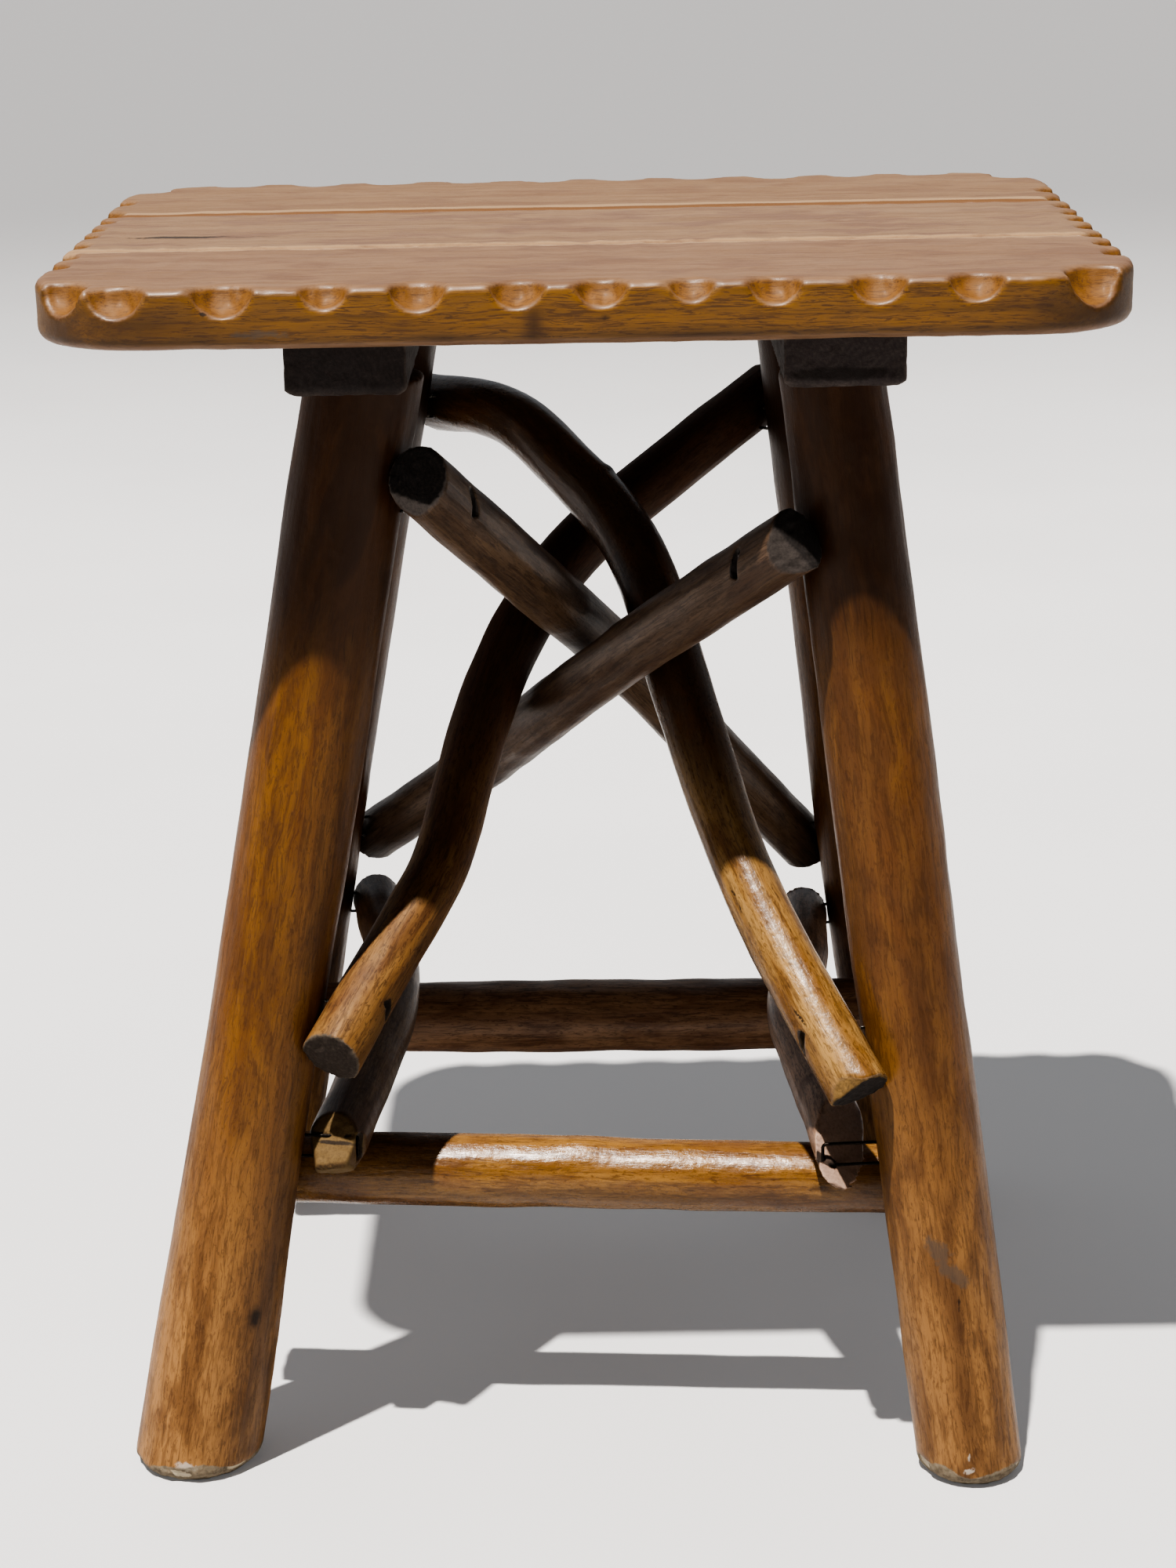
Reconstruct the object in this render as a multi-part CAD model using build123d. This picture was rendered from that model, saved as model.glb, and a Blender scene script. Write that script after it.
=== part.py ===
from build123d import *
from dataclasses import dataclass
from math import cos, radians, sin, tan
import os

# Rustic pole stool, in millimetres. X runs to the sitter's right, Y to the rear, Z up.
# The origin is on the floor, under the middle of the seat.

# Seat: three boards laid side by side, held from below by two cleats
seat_width = 392.0
seat_depth = 308.0
seat_height = 464.0
board_count = 3
board_thickness = 22.0
seat_corner_radius = 42.0
seat_top_round = 3.6
seat_under_round = 5.0
seam_groove_width = 4.6
seam_groove_depth = 1.5

# Gouged scoops round the top edge of the seat
scoop_radius = 10.5
scoop_stand_off = 1.2
corner_scoop_radius = 13.0

# Cleats
cleat_width = 43.5
cleat_thickness = 20.0
cleat_length = 270.0
cleat_edge_chamfer = 2.5
left_cleat_out = 85.0
right_cleat_out = 92.0

# Legs: how far each top and foot stands out to its side, and ahead or behind
left_top_out = 81.5
left_foot_out = 160.5
right_top_out = 89.5
right_foot_out = 142.0
front_left_top_reach = 88.0
front_left_foot_reach = 125.0
front_right_top_reach = 96.0
front_right_foot_reach = 143.0
rear_top_reach = 90.0
rear_left_foot_reach = 138.6
rear_right_foot_reach = 128.0

# Leg thickness, left pair and right pair: the poles are not a match
left_leg_top_diameter = 43.5
left_leg_middle_diameter = 42.8
left_leg_foot_diameter = 48.6
right_leg_top_diameter = 38.6
right_leg_middle_diameter = 41.4
right_leg_foot_diameter = 39.8
foot_chamfer = 4.0

# Straight stretchers, lapped on the inner faces of the legs
front_stretcher_left_height = 107.0
front_stretcher_right_height = 104.0
front_stretcher_diameter = 28.8
rear_stretcher_left_height = 106.5
rear_stretcher_right_height = 105.0
rear_stretcher_diameter = 32.0
stretcher_taper_share = 0.96
stretcher_overhang = 19.0

# Bowed side rails
side_rail_diameter = 23.0
side_rail_taper_share = 0.94
left_rail_rear_height = 150.0
right_rail_rear_height = 141.5
side_rail_front_overhang = 7.0
side_rail_rear_overhang = 5.0
side_rail_staple_setback = 8.0

# Bent branches that cross under the seat: each is held a drop below the top of one leg,
# and above the floor on the leg across from it
branch_diameter = 24.4
branch_taper_share = 0.96
branch_top_overhang = 9.0
branch_foot_overhang = 10.5
branch_rear_overhang = 6.0
branch_staple_setback = 23.0
front_left_branch_drop = 34.0
front_left_branch_foot = 165.0
front_right_branch_drop = 59.0
front_right_branch_foot = 173.0
rear_left_branch_drop = 46.5
rear_left_branch_foot = 167.0
rear_right_branch_drop = 48.0
rear_right_branch_foot = 179.0

# Wire staples through the sticks into the legs
staple_crown = 10.0
staple_wire = 1.3
staple_length = 38.0
staple_sunk = 2.0
staple_mouth_width = 2.6

# Nails down through each cleat into the leg, and screws up into the boards
nail_diameter = 3.4
nail_head_diameter = 7.6
nail_head_thickness = 1.4
nail_length = 72.0
nail_spread = 15.0
screw_diameter = 4.2
screw_head_diameter = 8.4
screw_head_depth = 2.6
screw_length = 35.0
screw_margin = 4.5
middle_screw_reach = 28.0

# Fits
seat_gap = 0.3
hole_clearance = 0.2
overrun = 60.0

# Where the scoops lie along each edge, from its middle, as shares of half its length,
# with the size of each as a share of the scoop radius
front_scoop_shares = [
    (-0.835, 1.13), (-0.640, 1.10), (-0.460, 0.90), (-0.295, 1.00), (-0.118, 0.97),
    (0.030, 0.96), (0.190, 0.84), (0.337, 0.96), (0.520, 0.99), (0.693, 0.98),
]
rear_scoop_shares = [
    (-0.760, 1.02), (-0.590, 0.98), (-0.425, 1.05), (-0.250, 0.95), (-0.085, 1.00),
    (0.080, 1.04), (0.250, 0.97), (0.420, 1.02), (0.590, 0.96), (0.750, 1.04),
]
left_scoop_shares = [
    (-0.575, 0.95), (-0.420, 0.95), (-0.225, 0.92), (-0.050, 0.90), (0.085, 0.86),
    (0.240, 0.92), (0.390, 0.95), (0.620, 0.97),
]
right_scoop_shares = [
    (-0.640, 0.97), (-0.485, 0.95), (-0.340, 0.93), (-0.185, 0.93), (-0.035, 0.90),
    (0.085, 0.88), (0.215, 0.90), (0.380, 0.93), (0.555, 0.95),
]
# Turn of each corner scoop from straight ahead, in degrees, with its size as a share
corner_scoop_shares = [(-47.0, 0.92), (38.0, 1.05), (-128.0, 0.85), (132.0, 0.85)]

# Bends of each stick between its two legs, as shares of half the seat's width, half its
# depth, and the rise from the floor to the tops of the legs
front_left_branch_bend_shares = [(-0.120, -0.285, 0.790), (0.010, 0.100, 0.700), (0.270, 0.535, 0.530)]
front_right_branch_bend_shares = [(0.170, -0.480, 0.770), (-0.080, -0.010, 0.640), (-0.220, 0.460, 0.540)]
rear_left_branch_bend_shares = [
    (-0.165, 0.545, 0.892), (0.088, 0.130, 0.798), (0.168, -0.190, 0.695), (0.288, -0.555, 0.530),
]
rear_right_branch_bend_shares = [
    (-0.050, 0.330, 0.765), (-0.195, 0.050, 0.675), (-0.270, -0.220, 0.580), (-0.310, -0.415, 0.525),
]
# A rail's last share is of the rise between the heights of its own two ends
left_rail_bend_shares = [(-0.440, -0.110, 0.49), (-0.440, 0.180, 0.86)]
right_rail_bend_shares = [(0.410, -0.045, 0.62), (0.450, 0.230, 1.18)]

# How much of the shorter run beside a bend its arc takes up
bend_share = 0.46
settling_rounds = 12

half_width = seat_width / 2
half_depth = seat_depth / 2
board_under = seat_height - board_thickness
leg_height = board_under - cleat_thickness


@dataclass(frozen=True)
class Leg:
    """A splayed pole: the middle of its top and foot, and its radius at top, middle and foot."""

    top: Vector
    foot: Vector
    radii: tuple

    def at(self, height):
        return self.foot + (self.top - self.foot) * (height / leg_height)

    def radius(self, height):
        at_top, at_middle, at_foot = self.radii
        half = leg_height / 2
        end = at_top if height > half else at_foot
        return at_middle + (end - at_middle) * abs(height - half) / half

    @property
    def direction(self):
        return (self.top - self.foot).normalized()


def pole(out_top, out_foot, reach_top, reach_foot, diameters):
    """A leg from its places out to the side and ahead or behind."""
    top = Vector(out_top, reach_top, leg_height)
    foot = Vector(out_foot, reach_foot, 0)
    return Leg(top, foot, tuple(diameter / 2 for diameter in diameters))


left_girth = (left_leg_top_diameter, left_leg_middle_diameter, left_leg_foot_diameter)
right_girth = (right_leg_top_diameter, right_leg_middle_diameter, right_leg_foot_diameter)
front_left = pole(-left_top_out, -left_foot_out, -front_left_top_reach,
                  -front_left_foot_reach, left_girth)
rear_left = pole(-left_top_out, -left_foot_out, rear_top_reach, rear_left_foot_reach, left_girth)
front_right = pole(right_top_out, right_foot_out, -front_right_top_reach,
                   -front_right_foot_reach, right_girth)
rear_right = pole(right_top_out, right_foot_out, rear_top_reach, rear_right_foot_reach, right_girth)


def place(shares, low, high):
    """A point in the stool from shares of half its width, half its depth and a rise."""
    across, back, up = shares
    return Vector(across * half_width, back * half_depth, low + up * (high - low))


def beside(leg, height, toward, inward, stick_radius):
    """The middle of a stick where it lies against a leg on its way to another point."""
    reach = leg.radius(height) + stick_radius + seat_gap
    side = inward.normalized()
    for _ in range(settling_rounds):
        run = toward - (leg.at(height) + side * reach)
        side = leg.direction.cross(run).normalized()
        side = side if side.dot(inward) > 0 else side * -1
    return leg.at(height) + side * reach


def half_space(point, outward):
    """A block that takes away everything beyond a plane."""
    size = seat_width + seat_height
    block = Box(size, size, size, align=(Align.CENTER, Align.CENTER, Align.MIN))
    return Plane(origin=point, z_dir=outward) * block


def stick(points, start_radius, end_radius):
    """A round tapered stick along straight runs that are joined by tangent bends."""
    runs = [after - before for before, after in zip(points, points[1:])]
    trims = [0.0] * len(points)
    for corner in range(1, len(points) - 1):
        trims[corner] = bend_share * min(runs[corner - 1].length, runs[corner].length)
    steps = len(points) - 1
    radii = [start_radius + (end_radius - start_radius) * step / steps for step in range(steps + 1)]
    pieces = []
    for index, run in enumerate(runs):
        ahead = run.normalized()
        begin = points[index] + ahead * trims[index]
        length = run.length - trims[index] - trims[index + 1]
        plane = Plane(origin=begin, z_dir=ahead)
        pieces.append(Solid.make_cone(radii[index], radii[index + 1], length, plane))
        if index + 1 < steps:
            pieces.append(bend(begin + ahead * length, ahead, runs[index + 1].normalized(),
                               trims[index + 1], radii[index + 1]))
    return pieces[0].fuse(*pieces[1:])


def bend(start, before, after, trim, radius):
    """The curved length of a stick between two runs, which starts at a point of the first."""
    turn = before.get_angle(after)
    normal = before.cross(after).normalized()
    centre = start + normal.cross(before) * (trim / tan(radians(turn / 2)))
    section = Plane(origin=start, z_dir=before) * Circle(radius)
    return revolve(section, Axis(centre, normal), turn).solid()


def whittle(body, tip, outward, radius, facets):
    """Knife cuts on the end of a stick: turn round it, lean from square, and where each
    meets the end, as a share of the radius."""
    upward = Vector(0, 0, 1)
    upward = (upward - outward * upward.dot(outward)).normalized()
    across = outward.cross(upward)
    for turn, lean, meet_share in facets:
        side = upward * cos(radians(turn)) + across * sin(radians(turn))
        normal = outward * cos(radians(lean)) + side * sin(radians(lean))
        body = body - half_space(tip + side * (radius * meet_share), normal)
    return body


def staple_shape(point, drive, upward, slack):
    """A U of wire, driven along one direction, with its crown along another."""
    wire = staple_wire + 2 * slack
    crown = Box(staple_crown + 2 * slack, wire, wire, align=(Align.CENTER, Align.CENTER, Align.MIN))
    prong = Box(wire, wire, staple_length + slack, align=(Align.CENTER, Align.CENTER, Align.MIN))
    side = (staple_crown - staple_wire) / 2
    shape = crown + Pos(side, 0, 0) * prong + Pos(-side, 0, 0) * prong
    crown_way = (upward - drive * upward.dot(drive)).normalized()
    return Plane(origin=point - drive * slack, x_dir=crown_way, z_dir=drive) * shape


@dataclass
class Fastening:
    """A staple through a stick into a leg, with the room cut for it."""

    staple: Solid
    pocket: Solid


def fasten(stick_point, stick_way, stick_radius, leg, height):
    """Staple a stick to a leg, level, from the side away from the leg."""
    drive = leg.at(height) - stick_point
    drive = Vector(drive.X, drive.Y, 0).normalized()
    square = drive - stick_way * drive.dot(stick_way)
    crown = stick_point - drive * (stick_radius / square.length - staple_sunk)
    upward = Vector(0, 0, 1)
    pocket = staple_shape(crown, drive, upward, hole_clearance)
    crown_way = (upward - drive * upward.dot(drive)).normalized()
    mouth = Box(staple_crown + 2 * hole_clearance, staple_mouth_width, staple_length,
                align=(Align.CENTER, Align.CENTER, Align.MAX))
    pocket = pocket + Plane(origin=crown, x_dir=crown_way, z_dir=drive) * mouth
    return Fastening(staple_shape(crown, drive, upward, 0).solid(), pocket)


def seat_slab():
    """The whole seat before it is parted into boards."""
    outline = RectangleRounded(seat_width, seat_depth, seat_corner_radius)
    slab = Pos(0, 0, board_under) * extrude(outline, board_thickness)
    slab = fillet(slab.faces().sort_by(Axis.Z)[-1].edges(), seat_top_round)
    slab = fillet(slab.faces().sort_by(Axis.Z)[0].edges(), seat_under_round)
    for x, y, radius in scoop_places():
        slab = slab - Pos(x, y, seat_height + scoop_stand_off) * Sphere(radius)
    return slab


def scoop_places():
    """The middle of each scoop in plan, with its radius."""
    front = -half_depth - scoop_stand_off
    side = half_width + scoop_stand_off
    places = [(share * half_width, front, size * scoop_radius) for share, size in front_scoop_shares]
    places += [(share * half_width, -front, size * scoop_radius) for share, size in rear_scoop_shares]
    places += [(-side, share * half_depth, size * scoop_radius) for share, size in left_scoop_shares]
    places += [(side, share * half_depth, size * scoop_radius) for share, size in right_scoop_shares]
    for turn, size in corner_scoop_shares:
        out, ahead = sin(radians(turn)), -cos(radians(turn))
        reach = seat_corner_radius + scoop_stand_off
        x = (half_width - seat_corner_radius) * (1 if out > 0 else -1) + out * reach
        y = (half_depth - seat_corner_radius) * (1 if ahead > 0 else -1) + ahead * reach
        places.append((x, y, size * corner_scoop_radius))
    return places


def seam_groove(y):
    """The shallow V along a seam between two boards."""
    half = seam_groove_width / 2
    section = Polyline((-half, seat_height), (0, seat_height - seam_groove_depth),
                       (half, seat_height), (half, seat_height + overrun),
                       (-half, seat_height + overrun), close=True)
    profile = Plane.YZ * make_face(section)
    return Pos(-half_width - overrun, y, 0) * extrude(profile, seat_width + 2 * overrun)


def seat_boards(holes):
    """The boards from front to rear, with the screw holes cut."""
    slab = seat_slab()
    board_depth = seat_depth / board_count
    for seam in range(1, board_count):
        slab = slab - seam_groove(-half_depth + seam * board_depth)
    for hole in holes:
        slab = slab - hole
    boards = []
    for index in range(board_count):
        strip = Box(seat_width + overrun, board_depth, board_thickness + overrun)
        y = -half_depth + (index + 1 / 2) * board_depth
        boards.append(slab & Pos(0, y, board_under + board_thickness / 2) * strip)
    return boards


def cleat(x):
    """A batten across the boards, with its lower edges eased."""
    bar = Box(cleat_width, cleat_length, cleat_thickness, align=(Align.CENTER, Align.CENTER, Align.MAX))
    bar = chamfer(bar.faces().sort_by(Axis.Z)[0].edges(), cleat_edge_chamfer)
    return Pos(x, 0, board_under) * bar


def leg_solid(leg):
    """A pole turned about its own line, cut level at the cleat and the floor."""
    slant = (leg.top - leg.foot).length / leg_height
    low, high = -left_leg_foot_diameter, leg_height + left_leg_foot_diameter
    flank = [(leg.radius(height), height * slant) for height in (low, leg_height / 2, high)]
    outline = Polyline((0, low * slant), *flank, (0, high * slant), close=True)
    body = Plane(origin=leg.foot, z_dir=leg.direction) * revolve(Plane.XZ * make_face(outline), Axis.Z)
    body = body - half_space(Vector(0, 0, leg_height), Vector(0, 0, 1))
    body = body - half_space(Vector(0, 0, 0), Vector(0, 0, -1))
    return chamfer(body.faces().sort_by(Axis.Z)[0].edges(), foot_chamfer)


def turned_pin(shank, head, head_depth, length, slack, flat):
    """A nail with a flat head, or a screw with a sunk one, its head's top at the origin."""
    top = -slack if flat else 0
    reach = shank / 2 + slack
    brim = head / 2 + slack
    if flat:
        outline = [(0, top), (brim, top), (brim, head_depth), (reach, head_depth),
                   (reach, length - shank + slack), (0, length + slack)]
    else:
        outline = [(0, top), (brim, top), (reach, head_depth), (reach, length - shank + slack),
                   (0, length + slack)]
    return revolve(Plane.XZ * make_face(Polyline(*outline, close=True)), Axis.Z)


def leg_nails(slack):
    """Two nails down through a cleat into the top of each leg, along the leg."""
    nails = []
    for leg in (front_left, front_right, rear_left, rear_right):
        for side in (-1, 1):
            down = leg.direction * -1
            head = leg.top + leg.direction * (cleat_thickness / leg.direction.Z)
            head = Vector(head.X, head.Y + side * nail_spread / 2, board_under)
            sunk = nail_head_diameter / 2 * abs(sin(radians(leg.direction.get_angle(Vector(0, 0, 1)))))
            head = head + down * (sunk + nail_head_thickness)
            pin = turned_pin(nail_diameter, nail_head_diameter, nail_head_thickness, nail_length,
                             slack, True)
            nails.append(Plane(origin=head, z_dir=down) * pin)
    return nails


def nail_mouths():
    """The room above each nail head, up to the top of the cleat."""
    mouths = []
    for nail in leg_nails(0):
        axis = nail.location
        mouth = Cylinder(nail_head_diameter / 2 + hole_clearance, nail_length,
                         align=(Align.CENTER, Align.CENTER, Align.MAX))
        mouths.append(axis * mouth)
    return mouths


def screw_places():
    """Where the screws go up through the cleats: one each side of a leg, two between."""
    places = []
    for x, pair in ((-left_cleat_out, (front_left, rear_left)), (right_cleat_out, (front_right, rear_right))):
        for leg in pair:
            room = leg.radii[0] + screw_head_diameter / 2 + screw_margin
            places += [(x, leg.top.Y - room), (x, leg.top.Y + room)]
        places += [(x, -middle_screw_reach), (x, middle_screw_reach)]
    return places


def seat_screws(slack):
    """Screws from the underside of the cleats into the boards."""
    pin = turned_pin(screw_diameter, screw_head_diameter, screw_head_depth, screw_length, slack, False)
    return [Pos(x, y, leg_height) * pin for x, y in screw_places()]


def build_straight(name, legs, heights, diameter, inward, facets):
    """A stretcher that lies on the inner sides of two legs, its whittled ends, and its staples."""
    radii = (diameter / 2, diameter / 2 * stretcher_taper_share)
    left, right = (leg.at(height) for leg, height in zip(legs, heights))
    for _ in range(settling_rounds):
        left = beside(legs[0], heights[0], right, inward, radii[0])
        right = beside(legs[1], heights[1], left, inward, radii[1])
    ahead = (right - left).normalized()
    start = left - ahead * stretcher_overhang
    finish = right + ahead * stretcher_overhang
    body = stick([start, finish], radii[0], radii[1])
    body = whittle(body, start, ahead * -1, radii[0], facets[0])
    body = whittle(body, finish, ahead, radii[1], facets[1])
    fastenings = [fasten(left, ahead, radii[0], legs[0], heights[0]),
                  fasten(right, ahead, radii[1], legs[1], heights[1])]
    return name, body, fastenings


@dataclass(frozen=True)
class Stock:
    """What bent sticks of one kind share: thickness, taper and where their staples sit."""

    diameter: float
    taper_share: float
    setback: float


def build_bent(name, legs, heights, bends, rise, stock, overhangs, inward, facets):
    """A bent stick from one leg to another, its whittled ends, and its staples."""
    start_leg, end_leg = legs
    middle = [place(shares, *rise) for shares in bends]
    start_radius = stock.diameter / 2
    end_radius = start_radius * stock.taper_share
    start = beside(start_leg, heights[0], middle[0], inward[0], start_radius)
    finish = beside(end_leg, heights[1], middle[-1], inward[1], end_radius)
    start_way = (start - middle[0]).normalized()
    end_way = (finish - middle[-1]).normalized()
    start_tip = start + start_way * overhangs[0]
    end_tip = finish + end_way * overhangs[1]
    body = stick([start_tip] + middle + [end_tip], start_radius, end_radius)
    body = whittle(body, start_tip, start_way, start_radius, facets[0])
    body = whittle(body, end_tip, end_way, end_radius, facets[1])
    fastenings = [
        fasten(start_tip - start_way * stock.setback, start_way, start_radius, start_leg, heights[0]),
        fasten(end_tip - end_way * stock.setback, end_way, end_radius, end_leg, heights[1]),
    ]
    return name, body, fastenings


# Which way each stick lies from its leg
to_right, to_left = Vector(1, 0, 0), Vector(-1, 0, 0)
to_front, to_rear = Vector(0, -1, 0), Vector(0, 1, 0)

# Knife cuts on the ends: turn round the stick, lean, and where the cut meets the end
square_end_shares = [(0.0, 4.0, -0.6)]
slant_end_shares = [(180.0, 18.0, -0.9)]
forward_end_shares = [(328.0, 19.0, 0.0)]
blunt_end_shares = [(180.0, 8.0, 0.0), (60.0, 58.0, 0.72)]
trimmed_end_shares = [(180.0, 12.0, -0.8), (170.0, 50.0, 0.38)]
turned_end_shares = [(277.0, 21.0, 0.0), (120.0, 48.0, 0.45)]
carved_end_shares = [(10.0, 44.0, -0.30), (90.0, 70.0, 0.55), (270.0, 66.0, 0.50), (190.0, 45.0, 0.45)]
flat_end_shares = [(330.0, 60.0, -0.90), (268.0, 80.0, 0.55)]

rail_rest = (front_stretcher_diameter + side_rail_diameter) / 2 + seat_gap
rail_overhangs = (side_rail_front_overhang, side_rail_rear_overhang)
downward_overhangs = (branch_rear_overhang, branch_foot_overhang)
upward_overhangs = (branch_top_overhang, branch_rear_overhang)
rail_stock = Stock(side_rail_diameter, side_rail_taper_share, side_rail_staple_setback)
branch_stock = Stock(branch_diameter, branch_taper_share, branch_staple_setback)
left_rail_heights = (front_stretcher_left_height + rail_rest, left_rail_rear_height)
right_rail_heights = (front_stretcher_right_height + rail_rest, right_rail_rear_height)
branch_rise = (0, leg_height)

sticks = [
    build_straight("front_stretcher", (front_left, front_right),
                   (front_stretcher_left_height, front_stretcher_right_height),
                   front_stretcher_diameter, to_rear, (slant_end_shares, square_end_shares)),
    build_straight("rear_stretcher", (rear_left, rear_right),
                   (rear_stretcher_left_height, rear_stretcher_right_height),
                   rear_stretcher_diameter, to_front, (square_end_shares, slant_end_shares)),
    build_bent("left_side_rail", (front_left, rear_left), left_rail_heights, left_rail_bend_shares,
               left_rail_heights, rail_stock, rail_overhangs, (to_right, to_right),
               (carved_end_shares, slant_end_shares)),
    build_bent("right_side_rail", (front_right, rear_right), right_rail_heights, right_rail_bend_shares,
               right_rail_heights, rail_stock, rail_overhangs, (to_left, to_left),
               (flat_end_shares, slant_end_shares)),
    build_bent("front_left_branch", (front_left, rear_right),
               (leg_height - front_left_branch_drop, front_left_branch_foot),
               front_left_branch_bend_shares, branch_rise, branch_stock, upward_overhangs,
               (to_right + to_front, to_left + to_rear), (trimmed_end_shares, slant_end_shares)),
    build_bent("front_right_branch", (front_right, rear_left),
               (leg_height - front_right_branch_drop, front_right_branch_foot),
               front_right_branch_bend_shares, branch_rise, branch_stock, upward_overhangs,
               (to_left + to_front, to_right + to_rear), (turned_end_shares, slant_end_shares)),
    build_bent("rear_left_branch", (rear_left, front_right),
               (leg_height - rear_left_branch_drop, rear_left_branch_foot),
               rear_left_branch_bend_shares, branch_rise, branch_stock, downward_overhangs,
               (to_right + to_rear, to_left + to_front), (slant_end_shares, blunt_end_shares)),
    build_bent("rear_right_branch", (rear_right, front_left),
               (leg_height - rear_right_branch_drop, rear_right_branch_foot),
               rear_right_branch_bend_shares, branch_rise, branch_stock, downward_overhangs,
               (to_left + to_rear, to_right + to_front), (slant_end_shares, forward_end_shares)),
]

legs = {"front_left_leg": front_left, "front_right_leg": front_right,
        "rear_left_leg": rear_left, "rear_right_leg": rear_right}
solids = {name: leg_solid(leg) for name, leg in legs.items()}
for name, body, _ in sticks:
    solids[name] = body
for name in solids:
    for _, _, fastenings in sticks:
        for fastening in fastenings:
            solids[name] = solids[name] - fastening.pocket

solids["left_cleat"] = cleat(-left_cleat_out)
solids["right_cleat"] = cleat(right_cleat_out)
for name in list(legs) + ["left_cleat", "right_cleat"]:
    for hole in leg_nails(hole_clearance):
        solids[name] = solids[name] - hole
for name in ("left_cleat", "right_cleat"):
    for hole in nail_mouths() + seat_screws(hole_clearance):
        solids[name] = solids[name] - hole
for name, board in zip(("front_board", "middle_board", "rear_board"),
                       seat_boards(seat_screws(hole_clearance))):
    solids[name] = board

groups = {
    "stretcher_staples": [f.staple for _, _, fastenings in sticks[:2] for f in fastenings],
    "rail_staples": [f.staple for _, _, fastenings in sticks[2:4] for f in fastenings],
    "branch_staples": [f.staple for _, _, fastenings in sticks[4:] for f in fastenings],
    "leg_nails": [nail.solid() for nail in leg_nails(0)],
    "seat_screws": [screw.solid() for screw in seat_screws(0)],
}

os.makedirs("parts", exist_ok=True)
for name, body in solids.items():
    export_step(body, f"parts/{name}.step")
for name, members in groups.items():
    export_step(Compound(children=members), f"parts/{name}.step")
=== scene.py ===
import logging
from dataclasses import dataclass, field
from enum import Enum
from math import cos, pi, radians, sin

import bmesh
import bpy
import numpy as np
from mathutils import Matrix, Quaternion, Vector


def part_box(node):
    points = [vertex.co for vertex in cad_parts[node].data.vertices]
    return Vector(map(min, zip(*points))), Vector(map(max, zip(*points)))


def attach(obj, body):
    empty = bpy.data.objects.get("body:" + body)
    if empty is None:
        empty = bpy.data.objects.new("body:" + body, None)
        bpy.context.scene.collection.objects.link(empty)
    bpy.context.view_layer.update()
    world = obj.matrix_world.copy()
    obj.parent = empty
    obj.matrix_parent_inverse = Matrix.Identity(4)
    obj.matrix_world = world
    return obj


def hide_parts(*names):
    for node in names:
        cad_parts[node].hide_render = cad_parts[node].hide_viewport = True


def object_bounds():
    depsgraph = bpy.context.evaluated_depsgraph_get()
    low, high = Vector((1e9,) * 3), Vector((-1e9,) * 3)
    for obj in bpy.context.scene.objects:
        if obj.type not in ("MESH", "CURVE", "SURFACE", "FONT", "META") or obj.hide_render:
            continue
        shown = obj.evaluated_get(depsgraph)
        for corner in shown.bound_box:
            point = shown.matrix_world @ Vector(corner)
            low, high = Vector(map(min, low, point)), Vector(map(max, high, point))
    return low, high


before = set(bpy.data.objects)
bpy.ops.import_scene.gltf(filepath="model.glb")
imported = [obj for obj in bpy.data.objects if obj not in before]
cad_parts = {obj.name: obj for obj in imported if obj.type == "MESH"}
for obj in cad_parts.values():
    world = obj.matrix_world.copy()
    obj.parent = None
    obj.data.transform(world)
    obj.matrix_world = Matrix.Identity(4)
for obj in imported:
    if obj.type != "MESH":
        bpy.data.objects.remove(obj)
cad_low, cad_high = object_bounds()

log = logging.getLogger("stool")

MM = 0.001
MERGE_REACH = 0.002 * MM
LOOK = "AgX - High Contrast"
Colour = tuple[float, float, float]
Rows = np.ndarray
Socket = bpy.types.NodeSocket
Tree = bpy.types.NodeTree


@dataclass(frozen=True)
class PhotoView:
    """Where the reference view was taken from, in an image of 1500 by 2000 pixels."""

    position: tuple[float, float, float] = (0.0036, -1.2903, 0.6314)
    yaw: float = -0.27
    pitch: float = 17.04
    roll: float = -1.07
    focal: float = 4200.0
    width: int = 1500
    height: int = 2000
    sensor: float = 36.0
    touch_reach: float = 1.6 * MM
    touch_slack: float = 1.05

    def axes(self) -> tuple[Vector, Vector, Vector]:
        """The view's right, up and forward directions."""
        yaw, pitch, roll = radians(self.yaw), radians(self.pitch), radians(self.roll)
        ahead = Vector((sin(yaw) * cos(pitch), cos(yaw) * cos(pitch), -sin(pitch)))
        level = Vector((cos(yaw), -sin(yaw), 0.0))
        upright = level.cross(ahead)
        return level * cos(roll) + upright * sin(roll), upright * cos(roll) - level * sin(roll), ahead

    def touch(self, points: Rows, x: float, y: float) -> int:
        """Finds what a pixel shows of a piece.

        Args:
            points: the piece's points, one row each.
            x: the pixel's column.
            y: the pixel's row.

        Returns:
            The row of the nearest point that lies on the pixel's ray.
        """
        right, up, ahead = self.axes()
        across, down = (x - self.width / 2) / self.focal, (y - self.height / 2) / self.focal
        ray = np.array((ahead + right * across - up * down).normalized())
        offsets = points - np.array(self.position)
        depth = offsets @ ray
        aside = np.sqrt(np.maximum((offsets ** 2).sum(1) - depth ** 2, 0.0))
        close = aside < max(self.touch_reach, aside.min() * self.touch_slack)
        return int(np.where(close, depth, np.inf).argmin())


VIEW = PhotoView()


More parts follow.
